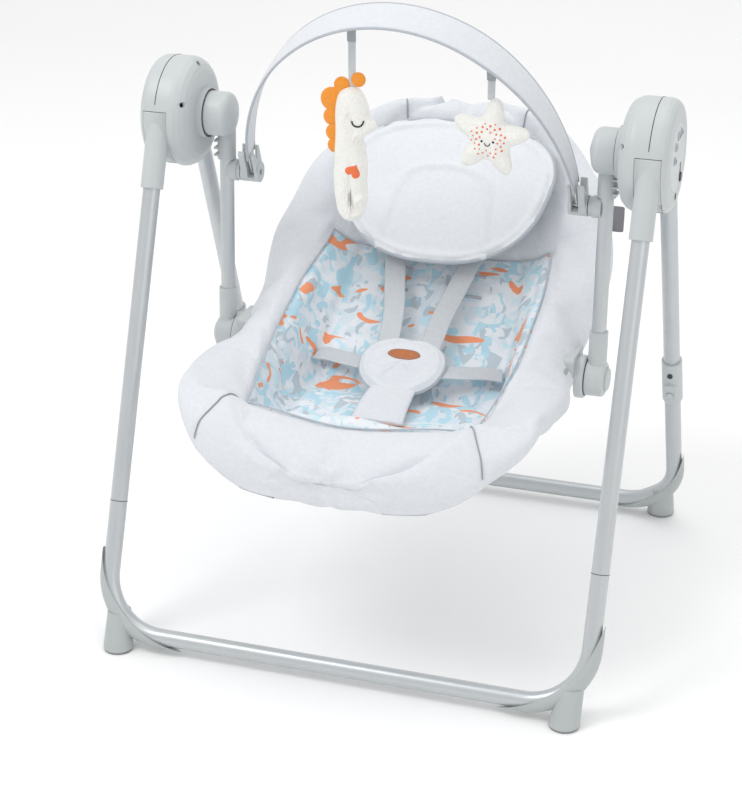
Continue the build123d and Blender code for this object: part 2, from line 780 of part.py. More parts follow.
PILLOW_Y, PILLOW_Z = 161.7, 410.9
with BuildPart() as head_pillow:
    with BuildSketch(back_plane(PILLOW_Y, PILLOW_Z, 20)):
        RectangleRounded(262, 184, 85)
    extrude(amount=22)
    fillet(head_pillow.edges(), 9)
head_pillow.part.label = "head_pillow"
export_step(head_pillow.part, "parts/head_pillow.step")

BUCKLE = (-18.0, 268.0)  # y, z under the middle of the buckle pad
BUCKLE_ANGLE = 28.0
buckle_slope = radians(BUCKLE_ANGLE)
buckle_plane = Plane(origin=(0, *BUCKLE), x_dir=(1, 0, 0),
                     z_dir=(0, -sin(buckle_slope), cos(buckle_slope)))

with BuildPart() as buckle_pad:
    with BuildSketch(buckle_plane):
        Ellipse(49, 38)
    extrude(amount=14)
    fillet(buckle_pad.edges(), 5)
buckle_pad.part.label = "buckle_pad"
export_step(buckle_pad.part, "parts/buckle_pad.step")

with BuildPart() as harness_patch:
    with BuildSketch(buckle_plane.offset(14.2)):
        with Locations((0, 14)):
            SlotOverall(36, 18)
    extrude(amount=1.4)
harness_patch.part.label = "harness_patch"
export_step(harness_patch.part, "parts/harness_patch.step")

STRAP = (24.0, 2.4)


def strap(start, stop, side_dir=(1, 0, 0), width=STRAP[0]):
    """Flat webbing run between two points."""
    start, stop = Vector(*start), Vector(*stop)
    with BuildPart() as run:
        with BuildSketch(Plane(origin=start, x_dir=side_dir, z_dir=stop - start)):
            Rectangle(width, STRAP[1])
        extrude(amount=(stop - start).length)
    return run.part


shoulder = strap((46, 100, 352), (20, 18, 288))
waist = strap((50, -16, 270), (102, 6, 270), side_dir=(0, 1, 0.3))
crotch = strap((0, -56, 258), (0, -112, 250), width=44.0)
save_both(shoulder, "shoulder_straps")
save_both(waist, "waist_straps")
save(crotch, "crotch_strap")

with BuildPart() as care_tag:
    with BuildSketch(Plane(origin=(197, 170, 410), x_dir=(1, 0, 0), z_dir=(0, 1, 0))):
        Rectangle(18, 30)
    extrude(amount=1)
care_tag.part.label = "care_tag"
export_step(care_tag.part, "parts/care_tag.step")

# ---- toy bar ------------------------------------------------------------
TOY_TILT = radians(TOY_LEAN)
BAND = 5.0               # thickness of the padded band
BAND_WIDE = 44.0
BAND_NARROW = 16.0
HOLDER_X = (177.0, 198.0)
CLIP_X = (199.0, 213.0)


def toy_plane(depth=0.0, x=0.0):
    """Plane of the arch: local x is X and local y runs up the arch."""
    out = Vector(0, -cos(TOY_TILT), -sin(TOY_TILT))
    return Plane(origin=Vector(x, CLIP_Y, CLIP_Z) + out * depth, x_dir=(1, 0, 0), z_dir=out)


def toy_side_plane(x):
    """Plane facing +X whose local y runs up the arch."""
    return Plane(origin=(x, CLIP_Y, CLIP_Z), x_dir=(0, cos(TOY_TILT), sin(TOY_TILT)),
                 z_dir=(1, 0, 0))


def arch_band(low, outer_gap, thick):
    """Flat band bent to the arch, with its ends at height low."""
    rise, half = TOY_RISE - outer_gap, TOY_HALF + BAND / 2 - outer_gap
    with BuildPart() as band:
        with BuildSketch(toy_plane(-40)):
            Ellipse(half, rise)
            Ellipse(half - thick, rise - thick, mode=Mode.SUBTRACT)
            with Locations((0, low - 200)):
                Rectangle(500, 400, mode=Mode.SUBTRACT)
        extrude(amount=80)
    return band.part


def lens(margin=0.0):
    """Side outline of the band: narrow at its ends, wide at the top."""
    narrow, wide = BAND_NARROW / 2 - margin, BAND_WIDE / 2 - margin
    with BuildPart() as side:
        with BuildSketch(toy_side_plane(-210)):
            with BuildLine():
                Spline((-narrow, 0), (-wide * 0.86, 110), (-wide, 250))
                Line((-wide, 250), (wide, 250))
                Spline((wide, 250), (wide * 0.86, 110), (narrow, 0))
                Line((narrow, 0), (-narrow, 0))
            make_face()
        extrude(amount=420)
    return side.part


with BuildPart() as toy_bar_strip:
    add(arch_band(4, 1.9, 1.2))
    add(lens(4), mode=Mode.INTERSECT)
toy_bar_strip.part.label = "toy_bar_strip"
export_step(toy_bar_strip.part, "parts/toy_bar_strip.step")

with BuildPart() as toy_bar_cover:
    add(arch_band(22, 0, BAND))
    add(lens(), mode=Mode.INTERSECT)
    add(toy_bar_strip.part, mode=Mode.SUBTRACT)
toy_bar_cover.part.label = "toy_bar_cover"
export_step(toy_bar_cover.part, "parts/toy_bar_cover.step")

CLIP_PIN_R = 3.5
CLIP_PIN_X = (178.5, 208.0)


def clip_plane(x):
    return side_plane(x, CLIP_Y, CLIP_Z)


with BuildPart() as toy_bar_clip:
    for start, stop, radius in ((CLIP_X[0], 203, 11.0), (203, CLIP_X[1], 12.2)):
        with BuildSketch(clip_plane(start)):
            Circle(radius)
        extrude(amount=stop - start)
    add(arm_rod(450, 500, ARM_R), mode=Mode.SUBTRACT)
    with BuildSketch(clip_plane(CLIP_X[0])):
        Circle(CLIP_PIN_R)
    extrude(amount=9, mode=Mode.SUBTRACT)
save_both(toy_bar_clip.part, "toy_bar_clips")

with BuildPart() as clip_pin:
    with BuildSketch(clip_plane(CLIP_PIN_X[0])):
        Circle(CLIP_PIN_R)
    extrude(amount=CLIP_PIN_X[1] - CLIP_PIN_X[0])
save_both(clip_pin.part, "toy_bar_pins")

with BuildPart() as holder:
    with BuildSketch(clip_plane(HOLDER_X[0])):
        Circle(11.5)
    extrude(amount=HOLDER_X[1] - HOLDER_X[0])
    with BuildSketch(toy_side_plane(178)):
        with BuildLine():
            Polyline((-10, 0), (-10, 30), (-7, 33), (0, 18), (7, 33), (10, 30), (10, 0),
                     close=True)
        make_face()
    extrude(amount=18)
    with BuildSketch(toy_side_plane(TOY_HALF - 5.2)):
        with Locations((0, 20)):
            Rectangle(24, 42)
    extrude(amount=8.2, mode=Mode.SUBTRACT)
    with BuildSketch(clip_plane(HOLDER_X[0] - 1)):
        Circle(CLIP_PIN_R + RUNNING)
    extrude(amount=30, mode=Mode.SUBTRACT)
save_both(holder.part, "toy_bar_holders")

# ---- hanging toys -------------------------------------------------------
STAR_X = 105.0
HORSE_X = -42.0
RIBBON = (9.0, 1.2)


def arch_height(x):
    """Height of the band's inner face in the arch plane."""
    return (TOY_RISE - BAND) * sqrt(1 - (x / (TOY_HALF - BAND / 2)) ** 2)


def hang_point(x, gap=7.0):
    """Point just under the band at x."""
    high = arch_height(x) - gap
    return Vector(x, CLIP_Y - high * sin(TOY_TILT), CLIP_Z + high * cos(TOY_TILT))


STAR_R = 42.0
STAR_Z = 564.0
HORSE_TOP = 608.0
HORSE_LOW = 459.0


def ribbon(x, z_low):
    """Narrow ribbon that hangs from the band."""
    top = hang_point(x)
    with BuildPart() as piece:
        with BuildSketch(Plane.XY.offset(z_low)):
            with Locations((x, top.Y)):
                Rectangle(*RIBBON)
        extrude(amount=top.Z - z_low)
    return piece.part


with BuildPart() as star_toy:
    with BuildSketch(Plane.XZ.offset(-hang_point(STAR_X).Y)):
        with BuildLine():
            rays = []
            for k in range(10):
                turn = radians(90 + 36 * k)
                reach = STAR_R if k % 2 == 0 else STAR_R * 0.56
                rays.append((STAR_X + reach * cos(turn), STAR_Z + reach * sin(turn)))
            Polyline(rays, close=True)
        make_face()
    extrude(amount=11, both=True)
star_toy.part.label = "star_toy"
export_step(star_toy.part, "parts/star_toy.step")
save(ribbon(STAR_X, STAR_Z + STAR_R), "star_ribbon")

with BuildPart() as seahorse_toy:
    with BuildSketch(Plane.XZ.offset(-hang_point(HORSE_X).Y)):
        with BuildLine():
            Polyline([(-50, HORSE_TOP), (-30, HORSE_TOP), (-16, 580), (-14, 540), (-20, 500),
                      (-16, 470), (-24, HORSE_LOW), (-40, 464), (-50, 500), (-64, 540),
                      (-66, 590)], close=True)
        make_face()
    extrude(amount=15, both=True)
seahorse_toy.part.label = "seahorse_toy"
export_step(seahorse_toy.part, "parts/seahorse_toy.step")
save(ribbon(HORSE_X, HORSE_TOP), "seahorse_ribbon")
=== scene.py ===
from math import cos, hypot, pi, radians, sin, sqrt

import bpy
import numpy as np
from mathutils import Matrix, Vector, noise
from mathutils.bvhtree import BVHTree
from mathutils.kdtree import KDTree


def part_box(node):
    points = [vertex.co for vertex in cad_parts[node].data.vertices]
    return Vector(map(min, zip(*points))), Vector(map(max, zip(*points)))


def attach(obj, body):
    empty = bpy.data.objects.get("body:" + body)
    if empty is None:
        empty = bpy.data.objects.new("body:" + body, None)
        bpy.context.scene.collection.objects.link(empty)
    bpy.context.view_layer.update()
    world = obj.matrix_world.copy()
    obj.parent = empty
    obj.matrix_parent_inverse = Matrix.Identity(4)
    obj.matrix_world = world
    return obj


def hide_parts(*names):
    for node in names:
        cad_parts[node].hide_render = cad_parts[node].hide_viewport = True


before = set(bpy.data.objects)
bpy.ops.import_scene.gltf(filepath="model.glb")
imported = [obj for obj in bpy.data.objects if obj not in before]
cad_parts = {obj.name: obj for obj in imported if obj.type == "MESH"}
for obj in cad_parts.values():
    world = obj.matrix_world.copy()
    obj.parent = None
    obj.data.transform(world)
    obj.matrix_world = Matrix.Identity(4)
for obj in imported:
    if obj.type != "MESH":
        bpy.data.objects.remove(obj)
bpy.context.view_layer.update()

MM = 0.001
SIDES = (-1, "left"), (1, "right")
scene = bpy.context.scene


def middle(node):
    """Middle of a CAD node's box."""
    low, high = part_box(node)
    return (low + high) / 2


# ---- materials ----------------------------------------------------------
def linear(red, green, blue):
    """Linear colour from screen values of 0 to 255."""
    parts = [c / 255 for c in (red, green, blue)]
    return tuple(c / 12.92 if c <= 0.04045 else ((c + 0.055) / 1.055) ** 2.4 for c in parts)


def shade(colour, factor):
    return (*[min(1.0, c * factor) for c in colour], 1.0)


class Look:
    """A material under construction: its nodes and its shader."""

    def __init__(self, name, rough=0.5, metal=0.0, sheen=0.0, coat=0.0):
        self.made = bpy.data.materials.new(name)
        self.made.use_nodes = True
        self.tree = self.made.node_tree
        self.shader = self.tree.nodes["Principled BSDF"]
        self.shader.inputs["Roughness"].default_value = rough
        self.shader.inputs["Metallic"].default_value = metal
        self.shader.inputs["Sheen Weight"].default_value = sheen
        self.shader.inputs["Sheen Roughness"].default_value = 0.45
        self.shader.inputs["Coat Weight"].default_value = coat
        self.place = self.node("ShaderNodeTexCoord").outputs["Object"]

    def node(self, kind, **settings):
        made = self.tree.nodes.new(kind)
        for key, value in settings.items():
            setattr(made, key, value)
        return made

    def link(self, source, target):
        self.tree.links.new(source, target)

    def noise(self, scale, detail=3.0, stretch=(1, 1, 1), twist=0.0, turn=(0, 0, 0)):
        """Noise value over the object's own coordinates."""
        mapping = self.node("ShaderNodeMapping")
        mapping.inputs["Scale"].default_value = stretch
        mapping.inputs["Rotation"].default_value = turn
        self.link(self.place, mapping.inputs["Vector"])
        cloud = self.node("ShaderNodeTexNoise")
        cloud.inputs["Scale"].default_value = scale
        cloud.inputs["Detail"].default_value = detail
        cloud.inputs["Distortion"].default_value = twist
        self.link(mapping.outputs["Vector"], cloud.inputs["Vector"])
        return cloud.outputs["Fac"]

    def ramp(self, value, stops):
        """Colours by value; stops are (position, colour)."""
        ramp = self.node("ShaderNodeValToRGB")
        points = ramp.color_ramp.elements
        while len(points) < len(stops):
            points.new(0.5)
        for point, (position, colour) in zip(points, stops):
            point.position = position
            point.color = (*colour[:3], 1.0)
        self.link(value, ramp.inputs["Fac"])
        return ramp.outputs["Color"]

    def colour(self, colour, vary=0.05, scale=30.0):
        """Base colour that drifts a little over the surface."""
        stops = [(0.3, shade(colour, 1 - vary)), (0.7, shade(colour, 1 + vary))]
        self.link(self.ramp(self.noise(scale), stops), self.shader.inputs["Base Color"])

    def threads(self, period, turn=(0, 0, 0)):
        """Ridges of one set of threads, a period apart in metres."""
        mapping = self.node("ShaderNodeMapping")
        mapping.inputs["Rotation"].default_value = turn
        self.link(self.place, mapping.inputs["Vector"])
        wave = self.node("ShaderNodeTexWave", bands_direction="X")
        wave.inputs["Scale"].default_value = 0.314 / period
        wave.inputs["Distortion"].default_value = 0.6
        wave.inputs["Detail Scale"].default_value = 2.0
        self.link(mapping.outputs["Vector"], wave.inputs["Vector"])
        return wave.outputs["Fac"]

    def weave(self, period):
        """Two crossing sets of threads."""
        join = self.node("ShaderNodeMath", operation="ADD")
        self.link(self.threads(period, (0, 0.2, 0)), join.inputs[0])
        self.link(self.threads(period, (0.2, 0.3, pi / 2)), join.inputs[1])
        return join.outputs["Value"]

    def bump(self, height, strength, distance):
        """Adds a bump on top of any earlier one."""
        bump = self.node("ShaderNodeBump")
        bump.inputs["Strength"].default_value = strength
        bump.inputs["Distance"].default_value = distance
        self.link(height, bump.inputs["Height"])
        normal = self.shader.inputs["Normal"]
        if normal.is_linked:
            self.link(normal.links[0].from_socket, bump.inputs["Normal"])
        self.link(bump.outputs["Normal"], normal)

    def rough_between(self, low, high, scale):
        """Roughness that wanders between two values."""
        spread = self.node("ShaderNodeMapRange")
        spread.inputs["To Min"].default_value = low
        spread.inputs["To Max"].default_value = high
        self.link(self.noise(scale), spread.inputs["Value"])
        self.link(spread.outputs["Result"], self.shader.inputs["Roughness"])


def moulded(name, colour, rough=0.42, grain=0.12):
    """Moulded plastic with a fine spark-eroded grain."""
    look = Look(name, coat=0.04)
    look.colour(colour, 0.02, 14)
    look.rough_between(rough - 0.05, rough + 0.08, 60)
    look.bump(look.noise(1600, 2), grain, 0.2 * MM)
    look.bump(look.noise(22, 2), 0.05, 1.0 * MM)
    return look.made


def coated(name, colour, metal=0.55, rough=0.34):
    """Powder-coated or plated metal."""
    look = Look(name, metal=metal, coat=0.15)
    look.colour(colour, 0.025, 18)
    look.rough_between(rough - 0.05, rough + 0.07, 90)
    look.bump(look.noise(700, 3, (1, 1, 0.15)), 0.05, 0.1 * MM)
    return look.made


def cloth(name, colour, period=0.9 * MM, sheen=0.25, rough=0.85, vary=0.03, weave=0.25):
    """Woven fabric with soft broad wrinkles."""
    look = Look(name, rough=rough, sheen=sheen)
    look.colour(colour, vary, 240)
    look.bump(look.weave(period), weave, 0.3 * MM)
    look.bump(look.noise(38, 4, (1, 1, 1.6), 0.8), 0.22, 2.0 * MM)
    return look.made


def plush(name, colour, vary=0.05):
    """Short-pile plush."""
    look = Look(name, rough=0.95, sheen=0.5)
    look.colour(colour, vary, 420)
    look.bump(look.noise(950, 4), 0.6, 0.8 * MM)
    look.bump(look.noise(160, 2), 0.3, 1.0 * MM)
    return look.made


OFF_WHITE = linear(226, 230, 235)
PALE_BLUE = linear(198, 224, 234)
SOFT_GREY = linear(186, 198, 207)
CORAL = linear(240, 154, 112)


def printed(name):
    """Light cotton printed with loose fronds in blue, grey and coral."""
    look = Look(name, rough=0.85, sheen=0.2)
    ground = look.ramp(look.noise(24, 0.5, twist=0.8), [
        (0.44, OFF_WHITE), (0.49, PALE_BLUE), (0.55, PALE_BLUE), (0.60, OFF_WHITE)])
    layers = [
        (linear(214, 224, 231), look.noise(44, 0.4, (0.8, 1, 0.7), 1.6, (1.1, 0.2, 0.4)), 0.55),
        (SOFT_GREY, look.noise(40, 0.6, (1.2, 0.5, 0.9), 1.6, (0.3, 0.5, 0.7)), 0.60),
        (linear(180, 215, 229), look.noise(42, 0.5, (1.1, 0.6, 0.5), 1.6, (0.2, 1.2, 2.2)), 0.57),
        (OFF_WHITE, look.noise(50, 0.4, (0.6, 1.1, 0.8), 1.8, (0.9, 0.4, 1.2)), 0.60),
        (CORAL, look.noise(42, 0.2, (0.5, 1.4, 1.1), 0.8, (0.5, 0.1, 1.9)), 0.69)]
    for colour, value, edge in layers:
        mask = look.ramp(value, [(edge, (0, 0, 0)), (edge + 0.012, (1, 1, 1))])
        mix = look.node("ShaderNodeMix", data_type="RGBA")
        look.link(mask, mix.inputs["Factor"])
        look.link(ground, mix.inputs["A"])
        mix.inputs["B"].default_value = (*colour, 1.0)
        ground = mix.outputs["Result"]
    look.link(ground, look.shader.inputs["Base Color"])
    look.bump(look.weave(0.8 * MM), 0.2, 0.25 * MM)
    look.bump(look.noise(55, 4, (1, 1, 1.4), 1.0), 0.35, 2.2 * MM)
    return look.made


def hide(name, colour):
    """Leather with a fine pebbled grain."""
    look = Look(name, rough=0.6)
    look.colour(colour, 0.12, 260)
    cells = look.node("ShaderNodeTexVoronoi", feature="DISTANCE_TO_EDGE")
    cells.inputs["Scale"].default_value = 900
    look.link(look.place, cells.inputs["Vector"])
    look.bump(cells.outputs["Distance"], 0.4, 0.3 * MM)
    return look.made


SHELL = moulded("shell_grey", linear(190, 195, 196))
KEY = moulded("key_grey", linear(176, 184, 188))
PANEL = moulded("panel_grey", linear(198, 202, 204), 0.36, 0.05)
DARK = moulded("dark_plastic", linear(52, 54, 57), 0.55)
BUSH = moulded("bush_white", linear(228, 228, 224), 0.35)
BOARD = moulded("board_green", linear(40, 100, 62), 0.45)
TUBE = coated("tube_silver", linear(194, 198, 200), 0.6, 0.36)
STEEL = coated("screw_steel", linear(175, 177, 180), 1.0, 0.28)
# Dark steel of the hub and joint screws; the same dark colour also paints the shade in the casing
# seams, the running gaps and the leg joints.
SCREW_DARK_AND_GAP_SHADE = coated("screw_dark_and_gap_shade", linear(72, 74, 78), 0.8, 0.4)
CELL = coated("cell_jacket", linear(150, 154, 160), 0.6, 0.3)
COPPER = coated("coil_copper", linear(190, 112, 70), 1.0, 0.3)
FOOT = moulded("foot_grey", linear(176, 181, 181))
RUBBER = moulded("foot_rubber", linear(138, 143, 145), 0.8, 0.3)
FABRIC = cloth("cover_cloth", linear(217, 220, 225))
PILLOW = cloth("pillow_cloth", linear(222, 225, 229), 1.0 * MM)
PAD = cloth("pad_cloth", linear(216, 219, 224), 0.9 * MM)
# Piping cloth, darker than the cover: its grey paints the shade along the piped seams.
PIPING_WITH_SEAM_SHADE = cloth("piping_cloth_seam_shade", linear(180, 185, 192), 0.8 * MM)
# Seam thread, darkened well below the cloth's tone as painted shade in the seam grooves.
SEAM_SHADE_THREAD = cloth("seam_thread_painted_shade", linear(150, 156, 165), 0.5 * MM)
BAND_CLOTH = cloth("band_cloth", linear(214, 217, 221), 1.1 * MM)
WEBBING = cloth("webbing", linear(194, 198, 203), 1.6 * MM, 0.1, 0.8, 0.03, 0.6)
RIBBON = cloth("toy_ribbon", linear(196, 200, 203), 0.7 * MM, 0.1)
RIBBON_TAB = cloth("ribbon_tab", linear(160, 164, 168), 0.7 * MM, 0.1)
TAG = cloth("tag_cloth", linear(130, 130, 135), 0.6 * MM, 0.1)
PRINT = printed("coral_print")
LEATHER = hide("patch_leather", linear(178, 106, 60))
WHITE_PLUSH = plush("white_plush", linear(238, 237, 232))
FELT = plush("orange_felt", linear(238, 150, 52))
CORAL_FELT = plush("coral_felt", linear(236, 120, 72))
INK = plush("black_thread", linear(24, 24, 26), 0.1)
MARK = moulded("key_mark", linear(120, 128, 134), 0.5)

CAD_LOOKS = {
    SHELL: ["hub_inner_shell_left", "hub_inner_shell_right", "hub_outer_shell_left",
            "hub_outer_shell_right", "battery_door", "front_sockets", "leg_joints",
            "arm_heads", "arm_ends", "toy_bar_clips",
            "toy_bar_holders", "seat_brackets", "recline_button_left",
            "recline_button_right", "lock_button_left", "lock_button_right"],
    TUBE: ["front_legs", "rear_legs", "front_base_tube", "rear_base_tube", "arm_tubes",
           "seat_tube_front", "seat_tube_back"],
    KEY: ["power_key", "timer_key", "speed_key", "music_key"],
    PANEL: ["control_panel"],
    DARK: ["power_switch", "dc_jack", "speaker", "magnet_lever"],
    BUSH: ["shaft_bushes", "toy_bar_strip"],
    BOARD: ["circuit_board"],
    CELL: ["battery_cells"],
    COPPER: ["drive_coil"],
    STEEL: ["swing_shafts", "recline_pins", "toy_bar_pins"],
    SCREW_DARK_AND_GAP_SHADE: ["joint_screws", "hub_screws"],
    FOOT: ["front_feet", "rear_feet"],
    RUBBER: ["front_foot_pads", "rear_foot_pads"],
}
for look, nodes in CAD_LOOKS.items():
    for node in nodes:
        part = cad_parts[node]
        if not part.material_slots:
            part.data.materials.append(look)
        for entry in part.material_slots:
            entry.material = look


# ---- mesh helpers -------------------------------------------------------
def circle(count):
    """Cosines and sines at even steps round one full turn."""
    return [(cos(2 * pi * k / count), sin(2 * pi * k / count)) for k in range(count)]


def skin(rings):
    """Points and faces of a closed skin over rings of equal counts."""
    count = len(rings[0])
    points = [tuple(p) for ring in rings for p in ring]
    faces = []
    for row in range(len(rings) - 1):
        for column in range(count):
            after = (column + 1) % count
            start, stop = row * count, (row + 1) * count
            faces.append((start + column, start + after, stop + after, stop + column))
    last = (len(rings) - 1) * count
    caps = len(points)
    points.append(tuple(np.mean(rings[0], axis=0)))
    points.append(tuple(np.mean(rings[-1], axis=0)))
    for column in range(count):
        after = (column + 1) % count
        faces.append((caps, after, column))
        faces.append((caps + 1, last + column, last + after))
    return points, faces


def finish_mesh(piece):
    """Bakes a piece's modifiers into its mesh."""
    ready = piece.evaluated_get(bpy.context.evaluated_depsgraph_get())
    baked = bpy.data.meshes.new_from_object(ready)
    old = piece.data
    piece.modifiers.clear()
    piece.data = baked
    bpy.data.meshes.remove(old)


def smoothed(piece, levels):
    """Subdivides a piece and bakes the result."""
    smooth = piece.modifiers.new("smooth", "SUBSURF")
    smooth.levels = smooth.render_levels = levels
    finish_mesh(piece)


def piece_of(name, points, faces, body, slot, looks, node=None, levels=1):
    """A new smooth piece that rides on a body and may stand for a CAD node."""
    mesh = bpy.data.meshes.new(name)
    mesh.from_pydata([tuple(p) for p in points], [], faces)
    for look in looks:
        mesh.materials.append(look)
    mesh.polygons.foreach_set("use_smooth", [True] * len(mesh.polygons))
    piece = bpy.data.objects.new(name, mesh)
    scene.collection.objects.link(piece)
    if levels:
        smoothed(piece, levels)
    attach(piece, body)
    if node:
        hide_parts(node)
    return piece


def between(a, b, c, d, t):
    """Place from b to c on the smooth curve through four points."""
    return 0.5 * (2 * b + (c - a) * t + (2 * a - 5 * b + 4 * c - d) * t * t
                  + (3 * b - a - 3 * c + d) * t ** 3)


def spread(points, count, closed=False):
    """Evenly many points along a smooth line through the given ones."""
    points = [Vector(p) for p in points]
    spans = len(points) if closed else len(points) - 1
    line = []
    for step in range(count):
        place = step * spans / (count if closed else count - 1)
        span = min(int(place), spans - 1)
        t = place - span
        if closed:
            near = [points[(span + k) % len(points)] for k in (-1, 0, 1, 2)]
        else:
            near = [points[min(max(span + k, 0), len(points) - 1)] for k in (-1, 0, 1, 2)]
        line.append(between(*near, t))
    return line


def strip(points, sideways, width, thick, steps=24):
    """Points and faces of flat webbing along a line; width may be (start, stop)."""
    line = spread(points, steps)
    start, stop = width if isinstance(width, tuple) else (width, width)
    rings = []
    for step, place in enumerate(line):
        along = (line[min(step + 1, steps - 1)] - line[max(step - 1, 0)]).normalized()
        across = Vector(sideways)
        across = (across - along * across.dot(along)).normalized()
        up = across.cross(along)
        half = (start + (stop - start) * step / (steps - 1)) / 2
        outline = [(-1, -0.5), (-0.5, -1), (0, -1), (0.5, -1), (1, -0.5),
                   (1, 0.5), (0.5, 1), (0, 1), (-0.5, 1), (-1, 0.5)]
        rings.append([place + across * half * u + up * thick / 2 * v for u, v in outline])
    return skin(rings)


def stuffed(outline, place, thick, rings=9, fullness=0.5, edge=0.0):
    """Points and faces of a crowned cushion over a flat outline.

    place turns (u, v, height) into a point; edge is the seam's half thickness.
    """
    centre_u = sum(u for u, v in outline) / len(outline)
    centre_v = sum(v for u, v in outline) / len(outline)
    shrink = [sin(pi / 2 * k / rings) for k in range(1, rings + 1)]
    rows = [(r, 1) for r in shrink] + [(r, -1) for r in reversed(shrink[:-1])]
    if edge:
        rows.insert(rings, (1.0, -1))
    skins = []
    for r, side in rows:
        height = edge + (thick / 2 - edge) * (1 - r * r) ** fullness
        skins.append([place(centre_u + r * (u - centre_u), centre_v + r * (v - centre_v),
                            side * height) for u, v in outline])
    return skin(skins)


def tube_of(name, points, radius, body, look, closed=False):
    """Round piping, thread or rim along a line."""
    curve = bpy.data.curves.new(name, "CURVE")
    curve.dimensions = "3D"
    curve.bevel_depth = radius
    curve.bevel_resolution = 2
    line = curve.splines.new("POLY")
    line.points.add(len(points) - 1)
    for point, place in zip(line.points, points):
        point.co = (*place, 1.0)
    line.use_cyclic_u = closed
    curve.materials.append(look)
    holder = bpy.data.objects.new(name + "_line", curve)
    scene.collection.objects.link(holder)
    ready = holder.evaluated_get(bpy.context.evaluated_depsgraph_get())
    mesh = bpy.data.meshes.new_from_object(ready)
    bpy.data.objects.remove(holder)
    mesh.polygons.foreach_set("use_smooth", [True] * len(mesh.polygons))
    piece = bpy.data.objects.new(name, mesh)
    scene.collection.objects.link(piece)
    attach(piece, body)
    return piece


def puff(piece, pinned, cap, pressure=4.0, frames=20, spare=0.03):
    """Swells a closed piece as stuffed cloth whose seams are held."""
    rest = np.array([v.co for v in piece.data.vertices])
    group = piece.vertex_groups.new(name="seams")
    group.add(pinned, 1.0, "REPLACE")
    modifier = piece.modifiers.new("stuffing", "CLOTH")
    settings = modifier.settings
    settings.quality = 6
    settings.mass = 0.3
    settings.tension_stiffness = settings.compression_stiffness = 12
    settings.shear_stiffness = 5
    settings.bending_stiffness = 0.4
    settings.use_pressure = True
    settings.uniform_pressure_force = pressure
    settings.shrink_min = -spare
    settings.vertex_group_mass = "seams"
    settings.effector_weights.gravity = 0
    modifier.point_cache.frame_end = frames
    for step in range(1, frames + 1):
        scene.frame_set(step)
    ready = piece.evaluated_get(bpy.context.evaluated_depsgraph_get())
    moved = np.array([v.co for v in ready.data.vertices]) - rest
    length = np.linalg.norm(moved, axis=1, keepdims=True)
    moved *= np.minimum(1.0, cap / np.maximum(length, 1e-9))
    piece.modifiers.remove(modifier)
    piece.vertex_groups.clear()
    piece.data.vertices.foreach_set("co", (rest + moved).astype(np.float32).ravel())
    piece.data.update()
    scene.frame_set(1)


def surface_of(piece):
    mesh = piece.data
    return BVHTree.FromPolygons([v.co for v in mesh.vertices],
                                [tuple(p.vertices) for p in mesh.polygons])


def landed(tree, points, direction, lift=0.0):
    """Points dropped along a direction on to a surface."""
    direction = Vector(direction).normalized()
    found = []
    for point in points:
        hit = tree.ray_cast(Vector(point) - direction * 0.4, direction)[0]
        if hit:
            found.append(hit - direction * lift)
    return found


def press_seam(piece, line, depth, width):
    """Sinks a soft groove along a line into a piece."""
    tree = KDTree(len(line))
    for index, place in enumerate(line):
        tree.insert(place, index)
    tree.balance()
    mesh = piece.data
    normals = [v.normal.copy() for v in mesh.vertices]
    for vertex, normal in zip(mesh.vertices, normals):
        gap = tree.find(vertex.co)[2]
        if gap < 3 * width:
            vertex.co -= normal * depth * np.exp(-(gap / width) ** 2)
    mesh.update()


# ---- seat cover ---------------------------------------------------------
# Each station: y, outer half width, rim height, inner edge half width and
# height, floor half width and height, thickness of the rim (millimetres).
STATIONS = np.array([
    (-274.6, 72, 243, 42, 255, 30, 256, 18),
    (-261, 128, 253, 80, 270, 60, 271, 28),
    (-236, 166, 275, 110, 292, 84, 292, 36),
    (-202, 190, 291, 124, 297, 98, 294, 36),
    (-178, 198, 299, 126, 282, 104, 254, 36),
    (-100, 204, 298, 136, 298, 110, 243, 36),
    (-30, 195, 300, 141, 320, 110, 246, 35),
    (28, 195, 312, 141, 340, 107, 276, 35),
    (110, 202, 362, 134, 366, 98, 345, 36),
    (170, 186, 420, 118, 412, 86, 402, 36),
    (215, 148, 468, 90, 466, 66, 460, 36),
    (240, 98, 498, 56, 505, 40, 507, 28),
    (252, 52, 502, 34, 508, 24, 516, 14)])
SHEET = 12.0
SPANS = (9, 9, 4, 5, 3, 3, 4, 4, 7)      # columns between the section's corners
PRINT_FRONT, PRINT_BACK = -188.0, 128.0  # y limits of the printed liner
LIP_BOW = 34.0                           # how far its front edge bows forward


def gentle(xs, ys, x):
    """Monotone smooth value at x through the given points."""
    slopes = np.diff(ys) / np.diff(xs)
    ends = np.zeros(len(xs))
    ends[0], ends[-1] = slopes[0], slopes[-1]
    for k in range(1, len(xs) - 1):
        if slopes[k - 1] * slopes[k] > 0:
            ends[k] = 2 * slopes[k - 1] * slopes[k] / (slopes[k - 1] + slopes[k])
    k = int(np.clip(np.searchsorted(xs, x) - 1, 0, len(xs) - 2))
    wide = xs[k + 1] - xs[k]
    t = (x - xs[k]) / wide
    return ((1 + 2 * t) * (1 - t) ** 2 * ys[k] + t * (1 - t) ** 2 * wide * ends[k]
            + t * t * (3 - 2 * t) * ys[k + 1] + t * t * (t - 1) * wide * ends[k + 1])


